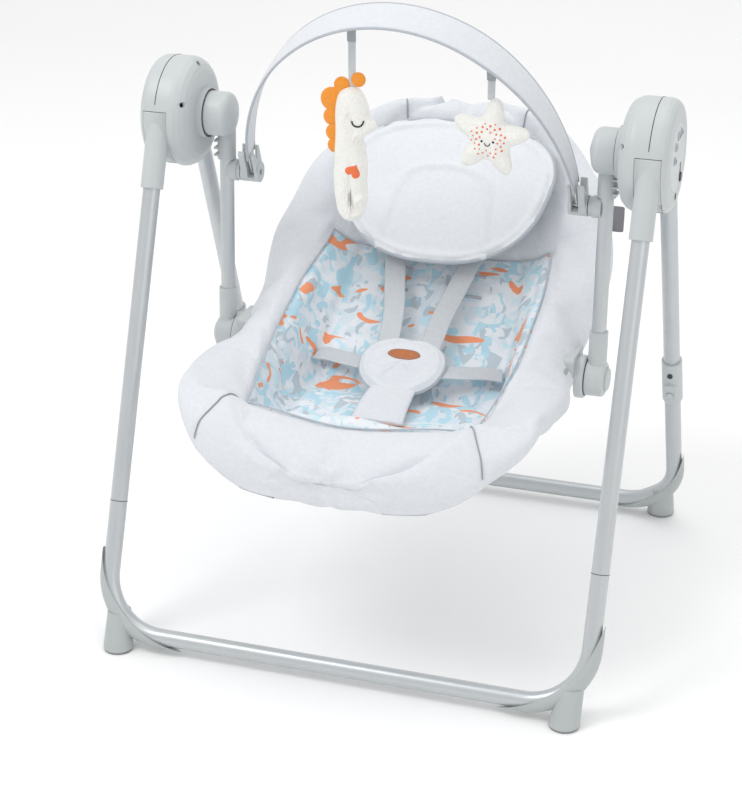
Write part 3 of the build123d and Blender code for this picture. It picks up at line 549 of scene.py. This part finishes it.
def tub_corners(y):
    """Corners of the right half of the section at y, from floor to underside."""
    half, rim, inner, inner_z, floor, floor_z, thick = [
        gentle(STATIONS[:, 0], STATIONS[:, k], y) for k in range(1, 8)]
    crest = (0.75 * inner + 0.25 * half, inner_z + 10)
    under = min(floor_z - SHEET, rim - thick)
    return [(0, floor_z - 3), (floor, floor_z), (inner, inner_z), crest,
            (half - 10, rim + 11), (half, rim), (half - 5, rim - 0.45 * thick),
            ((floor + half) / 2 + 8, rim - thick), (0.95 * floor, under), (0, under - 2)]


def bowed(y, share):
    """y of a liner point: the liner's front edge bows forward in the middle."""
    near = np.exp(-((y - PRINT_FRONT) / 42) ** 2)
    return y - LIP_BOW * (1 - share * share) * near


def tub_ring(y):
    """One ring round the tub at y, starting at the middle of the floor."""
    shares = (0, 0.72, 1, 1, 1, 1, 1, 1, 1, 1)
    corners = []
    for index, share in enumerate(shares):
        place = bowed(y, share)
        x, z = tub_corners(place)[index]
        corners.append(Vector((x, place, z)) * MM)
    before, after = corners[1].copy(), corners[-2].copy()
    before.x, after.x = -before.x, -after.x
    knots = [before, *corners, after]
    right = []
    for span, count in enumerate(SPANS):
        right += [between(*knots[span:span + 4], step / count) for step in range(count)]
    right.append(corners[-1])
    left = [Vector((-p.x, p.y, p.z)) for p in reversed(right[1:-1])]
    return right + left


def rounded_end(ring, outwards):
    """Rings that close an end of the tub with a soft edge."""
    centre = sum(ring, Vector()) / len(ring)
    closing = []
    for turn in (20, 40, 58, 74):
        squeeze, reach = cos(radians(turn)), 5 * MM * sin(radians(turn))
        closing.append([Vector((centre.x + (p.x - centre.x) * (0.72 + 0.28 * squeeze),
                                p.y + outwards * reach,
                                centre.z + (p.z - centre.z) * squeeze)) for p in ring])
    return closing


def column_of(corner):
    return sum(SPANS[:corner])


def seat_rows():
    """y of each ring, with rings exactly at the liner's two ends."""
    front = np.linspace(-274.6, PRINT_FRONT, 16)
    middle_rows = np.linspace(PRINT_FRONT, PRINT_BACK, 44)[1:]
    back = PRINT_BACK + (252 - PRINT_BACK) * np.sin(np.linspace(0, pi / 2, 20))[1:]
    return [*front, *middle_rows, *back]


ROWS = seat_rows()
FRONT_ROW, BACK_ROW = 15 + 4, 15 + 43 + 4    # four closing rings come first
RING = 2 * sum(SPANS)


def seat_cover():
    """The whole padded tub, with its liner printed."""
    rings = [tub_ring(y) for y in ROWS]
    rings = rounded_end(rings[0], -1)[::-1] + rings + rounded_end(rings[-1], 1)
    points, faces = skin(rings)
    seat = piece_of("seat_cover_cloth", points, faces, "seat", "seat_fabric",
                    [FABRIC, PRINT], "seat_cover", levels=0)
    edge = column_of(2)
    for face in seat.data.polygons:
        columns = [v % RING for v in face.vertices]
        inside = all(c <= edge or c >= RING - edge for c in columns)
        rows = [v // RING for v in face.vertices]
        if inside and min(rows) >= FRONT_ROW and max(rows) <= BACK_ROW:
            face.material_index = 1
    return seat


def seam_columns():
    """Vertices along the seat's seams: liner edge, liner floor and lower edge."""
    held = []
    for row in range(len(ROWS) + 8):
        corners = [7]
        if FRONT_ROW <= row <= BACK_ROW:
            corners += [1, 2]
        for corner in corners:
            column = column_of(corner)
            held += [row * RING + column, row * RING + RING - column]
    edge = column_of(2)
    for row in (FRONT_ROW, BACK_ROW):
        held += [row * RING + c % RING for c in range(-edge, edge + 1)]
    return held


def crumple(piece, rough, size):
    """Small steady wrinkles, the same on every run."""
    normals = [v.normal.copy() for v in piece.data.vertices]
    for vertex, normal in zip(piece.data.vertices, normals):
        vertex.co += normal * rough * noise.noise(vertex.co / size)
    piece.data.update()


def seam_path(piece, corner, side, first, last):
    column = column_of(corner)
    column = column if side > 0 else RING - column
    return [piece.data.vertices[row * RING + column % RING].co.copy()
            for row in range(first, last + 1)]


def cover_over(piece, node, gap):
    """Lifts a cover that lies too close over a CAD node until it hides the node."""
    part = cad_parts[node]
    mesh = part.data
    place = part.matrix_world
    tree = BVHTree.FromPolygons([place @ v.co for v in mesh.vertices],
                                [tuple(p.vertices) for p in mesh.polygons])
    cover = piece.data
    reach = 30 * MM
    normals = [v.normal.copy() for v in cover.vertices]
    lift = np.zeros(len(cover.vertices))
    for index, vertex in enumerate(cover.vertices):
        start = vertex.co + normals[index] * reach
        distance = tree.ray_cast(start, -normals[index], reach + gap)[3]
        if distance is not None:
            lift[index] = reach - distance + gap
    ends = np.array([tuple(edge.vertices) for edge in cover.edges])
    for _ in range(10):
        spread_lift = lift.copy()
        np.maximum.at(spread_lift, ends[:, 0], 0.8 * lift[ends[:, 1]])
        np.maximum.at(spread_lift, ends[:, 1], 0.8 * lift[ends[:, 0]])
        lift = spread_lift
    for index, vertex in enumerate(cover.vertices):
        vertex.co += normals[index] * lift[index]
    cover.update()


seat = seat_cover()
puff(seat, seam_columns(), 7 * MM, 5.0, 16)
liner_sides = [seam_path(seat, 2, side, FRONT_ROW, BACK_ROW) for side in (-1, 1)]
floor_sides = [seam_path(seat, 1, side, FRONT_ROW + 2, BACK_ROW) for side in (-1, 1)]
lower_sides = [seam_path(seat, 7, side, 4, len(ROWS) + 3) for side in (-1, 1)]
EDGE = column_of(2)
liner_ends = [[seat.data.vertices[row * RING + c % RING].co.copy()
               for c in range(-EDGE, EDGE + 1)] for row in (FRONT_ROW, BACK_ROW)]
smoothed(seat, 1)
crumple(seat, 1.2 * MM, 45 * MM)
cover_over(seat, "seat_tube_back", 2.0 * MM)
for line in liner_sides + liner_ends:
    press_seam(seat, spread(line, 200), 2.4 * MM, 5 * MM)
for line in floor_sides:
    press_seam(seat, spread(line, 200), 4.0 * MM, 6 * MM)
seat_top = surface_of(seat)


def seat_line(points, lift=0.0):
    """A smooth line that lies on top of the seat; points are x, y in millimetres."""
    dense = spread([(x * MM, y * MM, 0) for x, y in points], 90)
    return landed(seat_top, [Vector((p.x, p.y, 0.72)) for p in dense], (0, 0, -1), lift)


def crossing_seams():
    """Seams across the padded rim, and folds of the back panel."""
    rim = [[(side * 125, -190), (side * 142, -222), (side * 158, -250)] for side in (-1, 1)]
    rim += [[(side * 60, 196), (side * 76, 236)] for side in (-1, 1)]
    for index, points in enumerate(rim):
        line = seat_line(points)
        press_seam(seat, line, 2.0 * MM, 4 * MM)
        tube_of(f"rim_seam_{index}", seat_line(points, -0.9 * MM), 0.7 * MM, "seat",
                SEAM_SHADE_THREAD)
    for y in (40, 72, 100):
        press_seam(seat, seat_line([(-96, y - 6), (0, y), (96, y - 6)]), 2.6 * MM, 5 * MM)


crossing_seams()
for side, line in zip(("left", "right"), liner_sides):
    tube_of(f"liner_seam_{side}", spread(line, 160), 1.0 * MM, "seat", PIPING_WITH_SEAM_SHADE)
for end, line in zip(("front", "back"), liner_ends):
    tube_of(f"liner_seam_{end}", spread(line, 120), 1.0 * MM, "seat", PIPING_WITH_SEAM_SHADE)
for side, line in zip(("left", "right"), lower_sides):
    tube_of(f"lower_piping_{side}", spread(line, 240), 1.5 * MM, "seat", PIPING_WITH_SEAM_SHADE)


# ---- head pillow --------------------------------------------------------
SLOPE = radians(43)
PILLOW_AT = Vector((0, 161.7, 410.9)) * MM


def sloped(at, slope):
    """Turns (u, v, height) on a slope at a point into a place in the frame."""
    up = Vector((0, cos(slope), sin(slope)))
    out = Vector((0, -sin(slope), cos(slope)))
    return lambda u, v, height: at + Vector((u, 0, 0)) + up * v + out * height


def rounded_box(wide, low_wide, tall, power=3.0, count=72):
    """Outline of a rounded trapezoid: wide at the top, narrower below."""
    outline = []
    for c, s in circle(count):
        u = abs(c) ** (2 / power) * (1 if c >= 0 else -1)
        v = abs(s) ** (2 / power) * (1 if s >= 0 else -1)
        half = (low_wide + (wide - low_wide) * (v + 1) / 2) / 2
        outline.append((u * half, v * tall / 2))
    return outline


def head_pillow():
    outline = rounded_box(276 * MM, 208 * MM, 186 * MM, 2.5)
    place = sloped(PILLOW_AT + Vector((0, -sin(SLOPE), cos(SLOPE))) * 31 * MM, SLOPE)
    points, faces = stuffed(outline, place, 30 * MM, 12, 0.55, 2 * MM)
    pillow = piece_of("head_pillow_cloth", points, faces, "seat", "pillow_fabric",
                      [PILLOW], "head_pillow", levels=0)
    count = len(outline)
    puff(pillow, list(range(11 * count, 13 * count)), 6 * MM, 4.0, 14)
    smoothed(pillow, 2)
    crumple(pillow, 0.8 * MM, 40 * MM)
    tree = surface_of(pillow)
    out = Vector((0, -sin(SLOPE), cos(SLOPE)))
    panel = [(-64, -84), (-59, -40), (-54, -4), (-42, 18), (-14, 27), (14, 27), (42, 18),
             (54, -4), (59, -40), (64, -84)]
    inner = [(u * MM, v * MM) for u, v in panel]
    lip = [(0.93 * u, 0.92 * v) for u, v in outline]
    for name, loop, closed in (("inner", inner, False), ("outer", lip, True)):
        line = spread([place(u, v, 0) for u, v in loop], 260, closed)
        line = landed(tree, [p + out * 0.2 for p in line], -out)
        press_seam(pillow, line, 3.0 * MM, 4.2 * MM)
        seam = [p - out * 2.4 * MM for p in line]
        tube_of(f"pillow_seam_{name}", seam, 1.1 * MM, "seat", SEAM_SHADE_THREAD,
                closed)
    rim = [place(u, v, 0) for u, v in outline]
    tube_of("pillow_piping", spread(rim, 200, True), 2.4 * MM, "seat",
            PIPING_WITH_SEAM_SHADE, True)


head_pillow()

# ---- harness ------------------------------------------------------------
PAD_SLOPE = radians(28)
PAD_AT = Vector((0, -18, 268)) * MM


def leather_patch(tree, place, out):
    """Oval leather patch with its stitches, on the upper half of the pad."""
    half_u, half_v, mid_v = 19, 9.5, 14

    def on_pad(u, v, height):
        return landed(tree, [place(u, v, 0.2)], -out)[0] + out * height

    outline = [(half_u * MM * c, (mid_v + half_v * s * (1 - 0.16 * s ** 4)) * MM)
               for c, s in circle(64)]
    points, faces = stuffed(outline, on_pad, 2.8 * MM, 6, 0.3, 0.8 * MM)
    piece_of("leather_patch", points, faces, "seat", "patch_leather", [LEATHER],
             "harness_patch")
    for k in range(40):
        turns = 2 * pi * k / 40, 2 * pi * (k + 0.55) / 40
        ends = [on_pad(16.6 * MM * cos(t), (mid_v + 7.2 * sin(t)) * MM, 1.3 * MM)
                for t in turns]
        tube_of(f"patch_stitch_{k}", ends, 0.35 * MM, "seat", SEAM_SHADE_THREAD)


def buckle_pad():
    """Oval pad over the buckle, its piping and its patch."""
    outline = rounded_box(104 * MM, 88 * MM, 80 * MM, 2.2, 60)
    out = Vector((0, -sin(PAD_SLOPE), cos(PAD_SLOPE)))
    place = sloped(PAD_AT + out * 10 * MM, PAD_SLOPE)
    points, faces = stuffed(outline, place, 22 * MM, 10, 0.6, 1.5 * MM)
    pad = piece_of("buckle_pad_cloth", points, faces, "seat", "pad_fabric", [PAD],
                   "buckle_pad", levels=0)
    puff(pad, list(range(9 * 60, 11 * 60)), 4 * MM, 4.0, 12)
    smoothed(pad, 2)
    tree = surface_of(pad)
    groove = landed(tree, [place(0.86 * u, 0.86 * v, 0.2) for u, v in outline], -out)
    groove = spread(groove, 200, True)
    press_seam(pad, groove, 1.6 * MM, 2.6 * MM)
    seam = landed(tree, [p + out * 0.2 for p in groove], -out, -1.0 * MM)
    tube_of("pad_seam", seam, 0.6 * MM, "seat", SEAM_SHADE_THREAD, True)
    rim = spread([place(u, v, 0) for u, v in outline], 160, True)
    tube_of("pad_piping", rim, 1.9 * MM, "seat", PIPING_WITH_SEAM_SHADE, True)
    leather_patch(tree, place, out)
    return place


pad_place = buckle_pad()


def on_seat(points, lift):
    """Points lifted off the seat's top; each is x, y in millimetres."""
    return landed(seat_top, [Vector((x * MM, y * MM, 0.72)) for x, y in points],
                  (0, 0, -1), lift * MM)


def harness():
    for side, name in SIDES:
        points = [pad_place(side * 24 * MM, 26 * MM, 0), (side * 0.029, 0.040, 0.318),
                  (side * 0.038, 0.072, 0.344), (side * 0.048, 0.110, 0.376)]
        shape = strip(points, (1, 0, 0), 25 * MM, 2.2 * MM)
        strap = piece_of(f"shoulder_strap_{name}", *shape, "seat", "strap_webbing", [WEBBING])
        waist = [pad_place(side * 44 * MM, 2 * MM, -2 * MM), (side * 0.072, -0.010, 0.274),
                 (side * 0.092, -0.002, 0.273), (side * 0.110, 0.004, 0.270)]
        belt = piece_of(f"waist_strap_{name}", *strip(waist, (0, 1, 0.3), 22 * MM, 2.2 * MM),
                        "seat", "strap_webbing", [WEBBING])
        if side > 0:
            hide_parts("shoulder_straps")
            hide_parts("waist_straps")
        for edge, height in (("low", 84), ("high", 104)):
            ends = [(side * 26, height), (side * 44, height + 1), (side * 62, height)]
            slot_line = spread(on_seat(ends, 0.6), 16)
            tube_of(f"strap_slot_{edge}_{name}", slot_line, 1.8 * MM, "seat",
                    PIPING_WITH_SEAM_SHADE)
    flap = [pad_place(0, -20 * MM, -4 * MM), (0, -0.066, 0.262), (0, -0.092, 0.257),
            (0, -0.114, 0.249)]
    crotch = piece_of("crotch_flap", *strip(flap, (1, 0, 0), (52 * MM, 62 * MM), 8 * MM),
                      "seat", "strap_webbing", [PAD], "crotch_strap")


harness()


def care_tag():
    centre = middle("care_tag")
    points = [centre + Vector((0, 0.001, 0.015)), centre, centre + Vector((0, -0.002, -0.015))]
    piece_of("care_tag_cloth", *strip(points, (1, 0, 0), 18 * MM, 0.9 * MM, 10), "seat",
             "tag_fabric", [TAG], "care_tag")


care_tag()

# ---- toy bar ------------------------------------------------------------
TILT = radians(22)
ARCH_AT = Vector((0, 12, 477)) * MM
ARCH_HALF, ARCH_RISE = 186 * MM, 226.5 * MM
BAND = 5 * MM
ARCH_OUT = Vector((0, -cos(TILT), -sin(TILT)))
ARCH_UP = Vector((0, -sin(TILT), cos(TILT)))


def arch_point(turn, gap=0.0, sideways=0.0):
    """Point of the arch; gap is outwards, sideways is across the band."""
    level = Vector((ARCH_HALF * cos(turn), 0, 0)) + ARCH_UP * ARCH_RISE * sin(turn)
    out = (Vector((cos(turn) / ARCH_HALF, 0, 0)) + ARCH_UP * sin(turn) / ARCH_RISE)
    return ARCH_AT + level + out.normalized() * gap + ARCH_OUT * sideways


def band_half(turn):
    """Half width of the band: narrow at its ends, wide at the top."""
    high = abs(sin(turn))
    return (8 + 14 * min(1.0, high * 1.18) ** 0.8) * MM


def toy_bar():
    """Padded band of the toy bar with piping along both edges."""
    start, stop = radians(6), radians(174)
    outline = circle(20)
    rings = []
    for step in range(97):
        turn = start + (stop - start) * step / 96
        half = band_half(turn)
        ends = min(1.0, (step + 1) / 3, (97 - step) / 3)
        rings.append([arch_point(turn, BAND / 2 * abs(v) ** 0.8 * ends * (1 if v > 0 else -1),
                                 half * (abs(u) ** 0.7) * (1 if u > 0 else -1))
                      for u, v in outline])
    band = piece_of("toy_bar_band", *skin(rings), "toy_bar", "seat_fabric", [BAND_CLOTH],
                    "toy_bar_cover")
    for side, name in ((-1, "rear"), (1, "front")):
        line = []
        for step in range(120):
            turn = start + (stop - start) * step / 119
            line.append(arch_point(turn, 0, side * (band_half(turn) - 0.2 * MM)))
        tube_of(f"band_piping_{name}", line, 1.5 * MM, "toy_bar", PIPING_WITH_SEAM_SHADE)


toy_bar()


def toy_ribbon(name, body, node, toy_top):
    """Flat ribbon with a looped tab where it meets the band."""
    low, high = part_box(node)
    top = Vector(((low.x + high.x) / 2, (low.y + high.y) / 2, high.z))
    foot = Vector((top.x, top.y, toy_top))
    points = [top + Vector((0, 0, 3 * MM)), top * 0.66 + foot * 0.34, foot]
    piece_of(f"{name}_tape", *strip(points, (1, 0, 0), (9 * MM, 8 * MM), 1.4 * MM), body,
             "ribbon_fabric", [RIBBON], node)
    tab = [top + Vector((0, -1.2 * MM, 2 * MM)), top + Vector((0, -1.6 * MM, -8 * MM)),
           top + Vector((0, -1.0 * MM, -17 * MM))]
    piece_of(f"{name}_tab", *strip(tab, (1, 0, 0), 10 * MM, 1.6 * MM, 10), body,
             "ribbon_fabric", [RIBBON_TAB])


def upright(at):
    """Turns (u, v, height) into a place: u along X, v up, height to the front."""
    return lambda u, v, height: Vector((u, at.y - height, v))


def disc(centre, radius, count=14):
    return [(centre[0] + radius * c, centre[1] + radius * s) for c, s in circle(count)]


def decal(name, outline, tree, at, body, look, thick=1.2 * MM, rings=4):
    """Thin felt shape that follows a toy's front."""
    def place(u, v, height):
        found = landed(tree, [Vector((u, at.y - 0.1, v))], (0, 1, 0))
        y = found[0].y if found else at.y
        return Vector((u, y - height, v))
    piece_of(name, *stuffed(outline, place, thick, rings, 0.4, 0.2 * MM), body, "toy_plush",
             [look], levels=0)


def stitched(name, points, tree, at, body, radius=0.9 * MM):
    line = spread([(u, 0, v) for u, v in points], 20)
    line = landed(tree, [Vector((p.x, at.y - 0.1, p.z)) for p in line], (0, 1, 0), 0.3 * MM)
    tube_of(name, line, radius, body, INK)


def star():
    """Five-armed plush star with a dotted, smiling face."""
    low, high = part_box("star_toy")
    at = (low + high) / 2
    centre = Vector((at.x, at.y, high.z - 43 * MM))
    outline = []
    for k in range(100):
        turn = 2 * pi * k / 100
        wave = (1 + cos(5 * (turn - radians(82)))) / 2
        reach = (24 + 19.5 * wave ** 1.35) * MM
        outline.append((centre.x + reach * cos(turn), centre.z + reach * sin(turn)))
    toy = piece_of("star_plush", *stuffed(outline, upright(at), 25 * MM, 10, 0.55), "star",
                   "toy_plush", [WHITE_PLUSH], "star_toy", levels=0)
    puff(toy, list(range(9 * 100, 10 * 100)), 2.5 * MM, 4.0, 10, 0.0)
    smoothed(toy, 1)
    crumple(toy, 0.6 * MM, 12 * MM)
    tree = surface_of(toy)
    count = 0
    for k in range(46):
        reach = 20 * MM * sqrt((k + 0.5) / 46)
        turn = k * 2.39996
        u, v = reach * cos(turn), reach * sin(turn) * 0.95
        if hypot(u, v + 1 * MM) < 8.5 * MM:
            continue
        count += 1
        size = (0.9 + 0.5 * ((k * 7) % 5) / 5) * MM
        decal(f"star_dot_{count}", disc((centre.x + u, centre.z + v), size, count=8), tree,
              at, "star", CORAL_FELT, 0.6 * MM, 2)
    for name, side in (("left", -1), ("right", 1)):
        eye = (centre.x + side * 6.2 * MM, centre.z - 1 * MM)
        decal(f"star_eye_{name}", disc(eye, 1.3 * MM), tree, at, "star", INK, 1.0 * MM, 3)
    smile = [(centre.x + 2.8 * MM * cos(t), centre.z + (-2.4 + 3.2 * sin(t)) * MM)
             for t in (radians(a) for a in (180, 215, 250, 290, 325, 360))]
    stitched("star_smile", smile, tree, at, "star", 0.5 * MM)
    toy_ribbon("star_ribbon", "star", "star_ribbon", high.z - 3 * MM)


star()


def seahorse_rows(outline, spine_at, place):
    """Rings from the seahorse's spine out to its outline, front first."""
    rings = 9
    scale = [sin(pi / 2 * k / rings) for k in range(1, rings + 1)]
    rows = []
    for r, side in [(r, 1) for r in scale] + [(r, -1) for r in reversed(scale[:-1])]:
        height = side * 13.5 * MM * (1 - r * r) ** 0.5
        ring = []
        for u, v in outline:
            spine_u = spine_at[0] + 0.2 * (u - spine_at[0])
            spine_v = spine_at[1] + 0.86 * (v - spine_at[1])
            ring.append(place(spine_u + r * (u - spine_u), spine_v + r * (v - spine_v), height))
        rows.append(ring)
    return rows


def heart_outline(spot):
    """Heart turned half a radian, around its place on the belly."""
    outline = []
    for k in range(48):
        t = 2 * pi * k / 48
        u = 16 * sin(t) ** 3
        v = 13 * cos(t) - 5 * cos(2 * t) - 2 * cos(3 * t) - cos(4 * t)
        outline.append(spot(3 + 0.52 * (u * cos(0.5) - v * sin(0.5)),
                            88 + 0.52 * (u * sin(0.5) + v * cos(0.5))))
    return outline


def seahorse():
    """Plush seahorse: long body, snout, curled tail, felt fin and heart."""
    low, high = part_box("seahorse_toy")
    at = (low + high) / 2
    x, top = at.x, high.z

    def spot(u, v):
        """u from the middle line and v down from the top, in millimetres."""
        return (x + u * MM, top - v * MM)

    knots = [spot(u, v) for u, v in [
        (-4, 0), (7, 4), (15, 16), (18, 30), (24, 37), (25, 43), (17, 49), (10, 55),
        (13, 68), (15, 82), (14, 100), (15, 120), (12, 136), (4, 146), (-8, 147),
        (-17, 138), (-21, 120), (-22, 95), (-21, 70), (-20, 45), (-20, 22), (-15, 6)]]
    outline = [(p.x, p.z) for p in spread([(u, 0, v) for u, v in knots], 110, True)]
    outline.reverse()
    rows = seahorse_rows(outline, spot(-3, 74), upright(at))
    toy = piece_of("seahorse_plush", *skin(rows), "seahorse", "toy_plush", [WHITE_PLUSH],
                   "seahorse_toy")
    crumple(toy, 0.7 * MM, 14 * MM)
    tree = surface_of(toy)
    scallops = [(2, -9, 8), (-16, -2, 9), (-27, 14, 13), (-27, 33, 10), (-25, 50, 9.5),
                (-24, 64, 8.5)]
    for index, (u, v, size) in enumerate(scallops):
        shape = disc(spot(u + 3, v + 1), size * MM, 24)
        piece_of(f"seahorse_fin_{index}", *stuffed(shape, upright(at), 6 * MM, 5, 0.5, 1 * MM),
                 "seahorse", "toy_plush", [FELT])
    decal("seahorse_heart", heart_outline(spot), tree, at, "seahorse", CORAL_FELT)
    eye = [spot(8 + 6 * cos(t), 33 + 6 * sin(t)) for t in
           (radians(a) for a in (0, 35, 70, 110, 145, 180))]
    stitched("seahorse_eye", eye, tree, at, "seahorse")
    curl = [spot(u, v) for u, v in [(11, 118), (4, 123), (-1, 130), (2, 137), (8, 135)]]
    line = spread([(u, 0, v) for u, v in curl], 40)
    line = landed(tree, [Vector((p.x, at.y - 0.1, p.z)) for p in line], (0, 1, 0))
    press_seam(toy, line, 3.0 * MM, 2.6 * MM)
    toy_ribbon("seahorse_ribbon", "seahorse", "seahorse_ribbon", top - 4 * MM)


seahorse()


# ---- small details on the frame ----------------------------------------
SEAM_ANGLES = (278, 520)    # parting line, from behind the slot round to its top
ARM_GAP_R, RECLINE_GAP_R = 26.0 * MM, 20.4 * MM
LEG_R = 9.5 * MM
LEG_LEAN = radians(21)      # of the front and rear legs from upright


def hoop(centre, radius, axis, count=96):
    """Circle of points about an axis through a centre."""
    axis = Vector(axis).normalized()
    across = axis.orthogonal().normalized()
    up = axis.cross(across)
    return [centre + across * radius * c + up * radius * s for c, s in circle(count)]


def hub_rim(name, side):
    """Parting plane's x, centre and radius of a hub casing's rim."""
    low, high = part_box(f"hub_inner_shell_{name}")
    return high.x if side > 0 else low.x, (low + high) / 2, (high.z - low.z) / 2


def hub_gap_shade_lines():
    """Thin dark tube along the parting line of each hub casing: painted shade in the gap between
    the two halves.
    """
    start, stop = SEAM_ANGLES
    for side, name in SIDES:
        seam_x, centre, radius = hub_rim(name, side)
        points = []
        for k in range(60):
            turn = radians(start + (stop - start) * k / 59)
            points.append(Vector((seam_x, centre.y + radius * cos(turn),
                                  centre.z + radius * sin(turn))))
        tube_of(f"casing_seam_{name}", points, 0.45 * MM, "rear_frame",
                SCREW_DARK_AND_GAP_SHADE)


hub_gap_shade_lines()


def slot_shutters():
    """Curved plates that fill the casing slots and turn with the front legs.

    The inner plate slides behind the casing; the outer one lies flush with its rim.
    """
    plates = {"inner": (168, 262, [(-13.2, -3.6), (13.2, -3.6), (13.2, -2.8), (-13.2, -2.8)]),
              "outer": (167.6, 221, [(-13.7, -1.8), (13.7, -2.8), (13.7, -1.4), (11, -0.8),
                                     (8, -0.3), (-13.7, -0.2)])}
    for side, name in SIDES:
        seam_x, centre, radius = hub_rim(name, side)
        for plate, (start, stop, outline) in plates.items():
            rings = []
            for k in range(30):
                turn = radians(start + (stop - start) * k / 29)
                rings.append([Vector((seam_x + side * x * MM,
                                      centre.y + (radius + r * MM) * cos(turn),
                                      centre.z + (radius + r * MM) * sin(turn)))
                              for x, r in outline])
            piece_of(f"slot_shutter_{plate}_{name}", *skin(rings), "front_frame",
                     "shell_plastic", [SHELL], levels=0)


slot_shutters()


def gap_shade_rings():
    """Dark rings of painted shade in the running gaps round the arm heads and the recline drums.
    """
    for side, name in SIDES:
        boss_low, boss_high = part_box(f"hub_inner_shell_{name}")
        inner_x = boss_low.x if side > 0 else boss_high.x
        centre = Vector((inner_x, 0, (boss_low.z + boss_high.z) / 2))
        tube_of(f"arm_gap_{name}", hoop(centre, ARM_GAP_R, (1, 0, 0)), 0.9 * MM,
                "rear_frame", SCREW_DARK_AND_GAP_SHADE, True)
        button_low, button_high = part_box(f"recline_button_{name}")
        disc_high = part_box("seat_brackets")[1]
        pivot = Vector((side * (disc_high.x + 0.2 * MM), (button_low.y + button_high.y) / 2,
                        (button_low.z + button_high.z) / 2))
        tube_of(f"recline_gap_{name}", hoop(pivot, RECLINE_GAP_R, (1, 0, 0)), 0.8 * MM,
                "swing", SCREW_DARK_AND_GAP_SHADE, True)


gap_shade_rings()


def joint_rings():
    """Thin shadow line where each leg tube enters the base tube."""
    for node, body, end in (("front_legs", "front_frame", -1), ("rear_legs", "rear_frame", 1)):
        low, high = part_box(node)
        for side in (-1, 1):
            foot_y = low.y if end < 0 else high.y
            centre = Vector((side * (high.x - LEG_R), foot_y - end * LEG_R * cos(LEG_LEAN),
                             low.z + LEG_R * sin(LEG_LEAN)))
            axis = (0, -end * sin(LEG_LEAN), cos(LEG_LEAN))
            name = f"joint_ring_{node}_{'left' if side < 0 else 'right'}"
            tube_of(name, hoop(centre, 9.6 * MM, axis), 0.35 * MM, body,
                    SCREW_DARK_AND_GAP_SHADE, True)


joint_rings()


def key_marks():
    """Plain raised marks on the four keys: ring, bars, dot and stem, clock."""
    for key in ("power_key", "speed_key", "music_key", "timer_key"):
        low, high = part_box(key)
        centre = Vector((high.x + 0.1 * MM, (low.y + high.y) / 2, (low.z + high.z) / 2))
        if key in ("power_key", "timer_key"):
            tube_of(f"{key}_ring", hoop(centre, 2.2 * MM, (1, 0, 0), 32), 0.3 * MM, key,
                    MARK, True)
        lines = {"power_key": [((0, 0.4), (0, 2.8))], "timer_key": [((0, 0), (0, 1.6)),
                                                                    ((0, 0), (1.1, 0))],
                 "speed_key": [((-1.6, -1.6), (-1.6, -0.4)), ((0, -1.6), (0, 0.8)),
                               ((1.6, -1.6), (1.6, 2.0))],
                 "music_key": [((-0.8, -1.6), (0.6, -1.6)), ((0.6, -1.6), (0.6, 2.0)),
                               ((0.6, 2.0), (1.8, 1.2))]}[key]
        for index, ends in enumerate(lines):
            points = [centre + Vector((0, y * MM, z * MM)) for y, z in ends]
            tube_of(f"{key}_mark_{index}", points, 0.3 * MM, key, MARK)


key_marks()


# ---- floor, light and camera -------------------------------------------
def stage():
    """Pale floor that curves up into a backdrop."""
    rings = []
    for y, z in [(-4.5, 0), (0, 0), (2.2, 0), (3.0, 0.08), (3.6, 0.4), (3.9, 1.0), (4.0, 4.5)]:
        rings.append([(x, y, z) for x in (-6, -2, 0, 2, 6)])
    points = [p for ring in rings for p in ring]
    faces = []
    for row in range(len(rings) - 1):
        for column in range(4):
            start = row * 5 + column
            faces.append((start, start + 1, start + 6, start + 5))
    mesh = bpy.data.meshes.new("floor")
    mesh.from_pydata(points, [], faces)
    mesh.polygons.foreach_set("use_smooth", [True] * len(mesh.polygons))
    floor = bpy.data.objects.new("floor", mesh)
    scene.collection.objects.link(floor)
    look = Look("floor_paper", rough=0.9)
    look.colour(linear(250, 250, 250), 0.004, 2)
    mesh.materials.append(look.made)


def light(name, place, aim, size, power):
    lamp = bpy.data.lights.new(name, "AREA")
    lamp.shape = "DISK"
    lamp.size = size
    lamp.energy = power
    holder = bpy.data.objects.new(name, lamp)
    scene.collection.objects.link(holder)
    holder.location = place
    holder.rotation_euler = (Vector(aim) - Vector(place)).to_track_quat("-Z", "Y").to_euler()


LAMPS = {"key": ((-1.5, -1.3, 2.9), (0, 0, 0.3), 1.4, 30),
         "fill": ((2.2, -1.4, 1.6), (0, 0, 0.3), 2.0, 8),
         "top": ((0.2, 0.6, 3.0), (0, 0, 0.2), 2.4, 16)}
SKY = 0.80                               # strength of the even white surroundings
EYE = (0.65465, -2.11995, 1.21418)       # the camera and the way it looks
GAZE = (-0.28573, 0.86785, -0.40643)


def studio():
    scene.view_settings.view_transform = "Standard"
    world = bpy.data.worlds.new("studio")
    scene.world = world
    world.use_nodes = True
    world.node_tree.nodes["Background"].inputs["Color"].default_value = (1.0, 1.0, 1.0, 1.0)
    world.node_tree.nodes["Background"].inputs["Strength"].default_value = SKY
    for name, setting in LAMPS.items():
        light(name, *setting)


def camera():
    lens = bpy.data.cameras.new("camera")
    lens.sensor_width = 36
    lens.lens = 96.0
    holder = bpy.data.objects.new("camera", lens)
    scene.collection.objects.link(holder)
    holder.location = EYE
    holder.rotation_euler = Vector(GAZE).to_track_quat("-Z", "Y").to_euler()
    scene.camera = holder


stage()
studio()
camera()
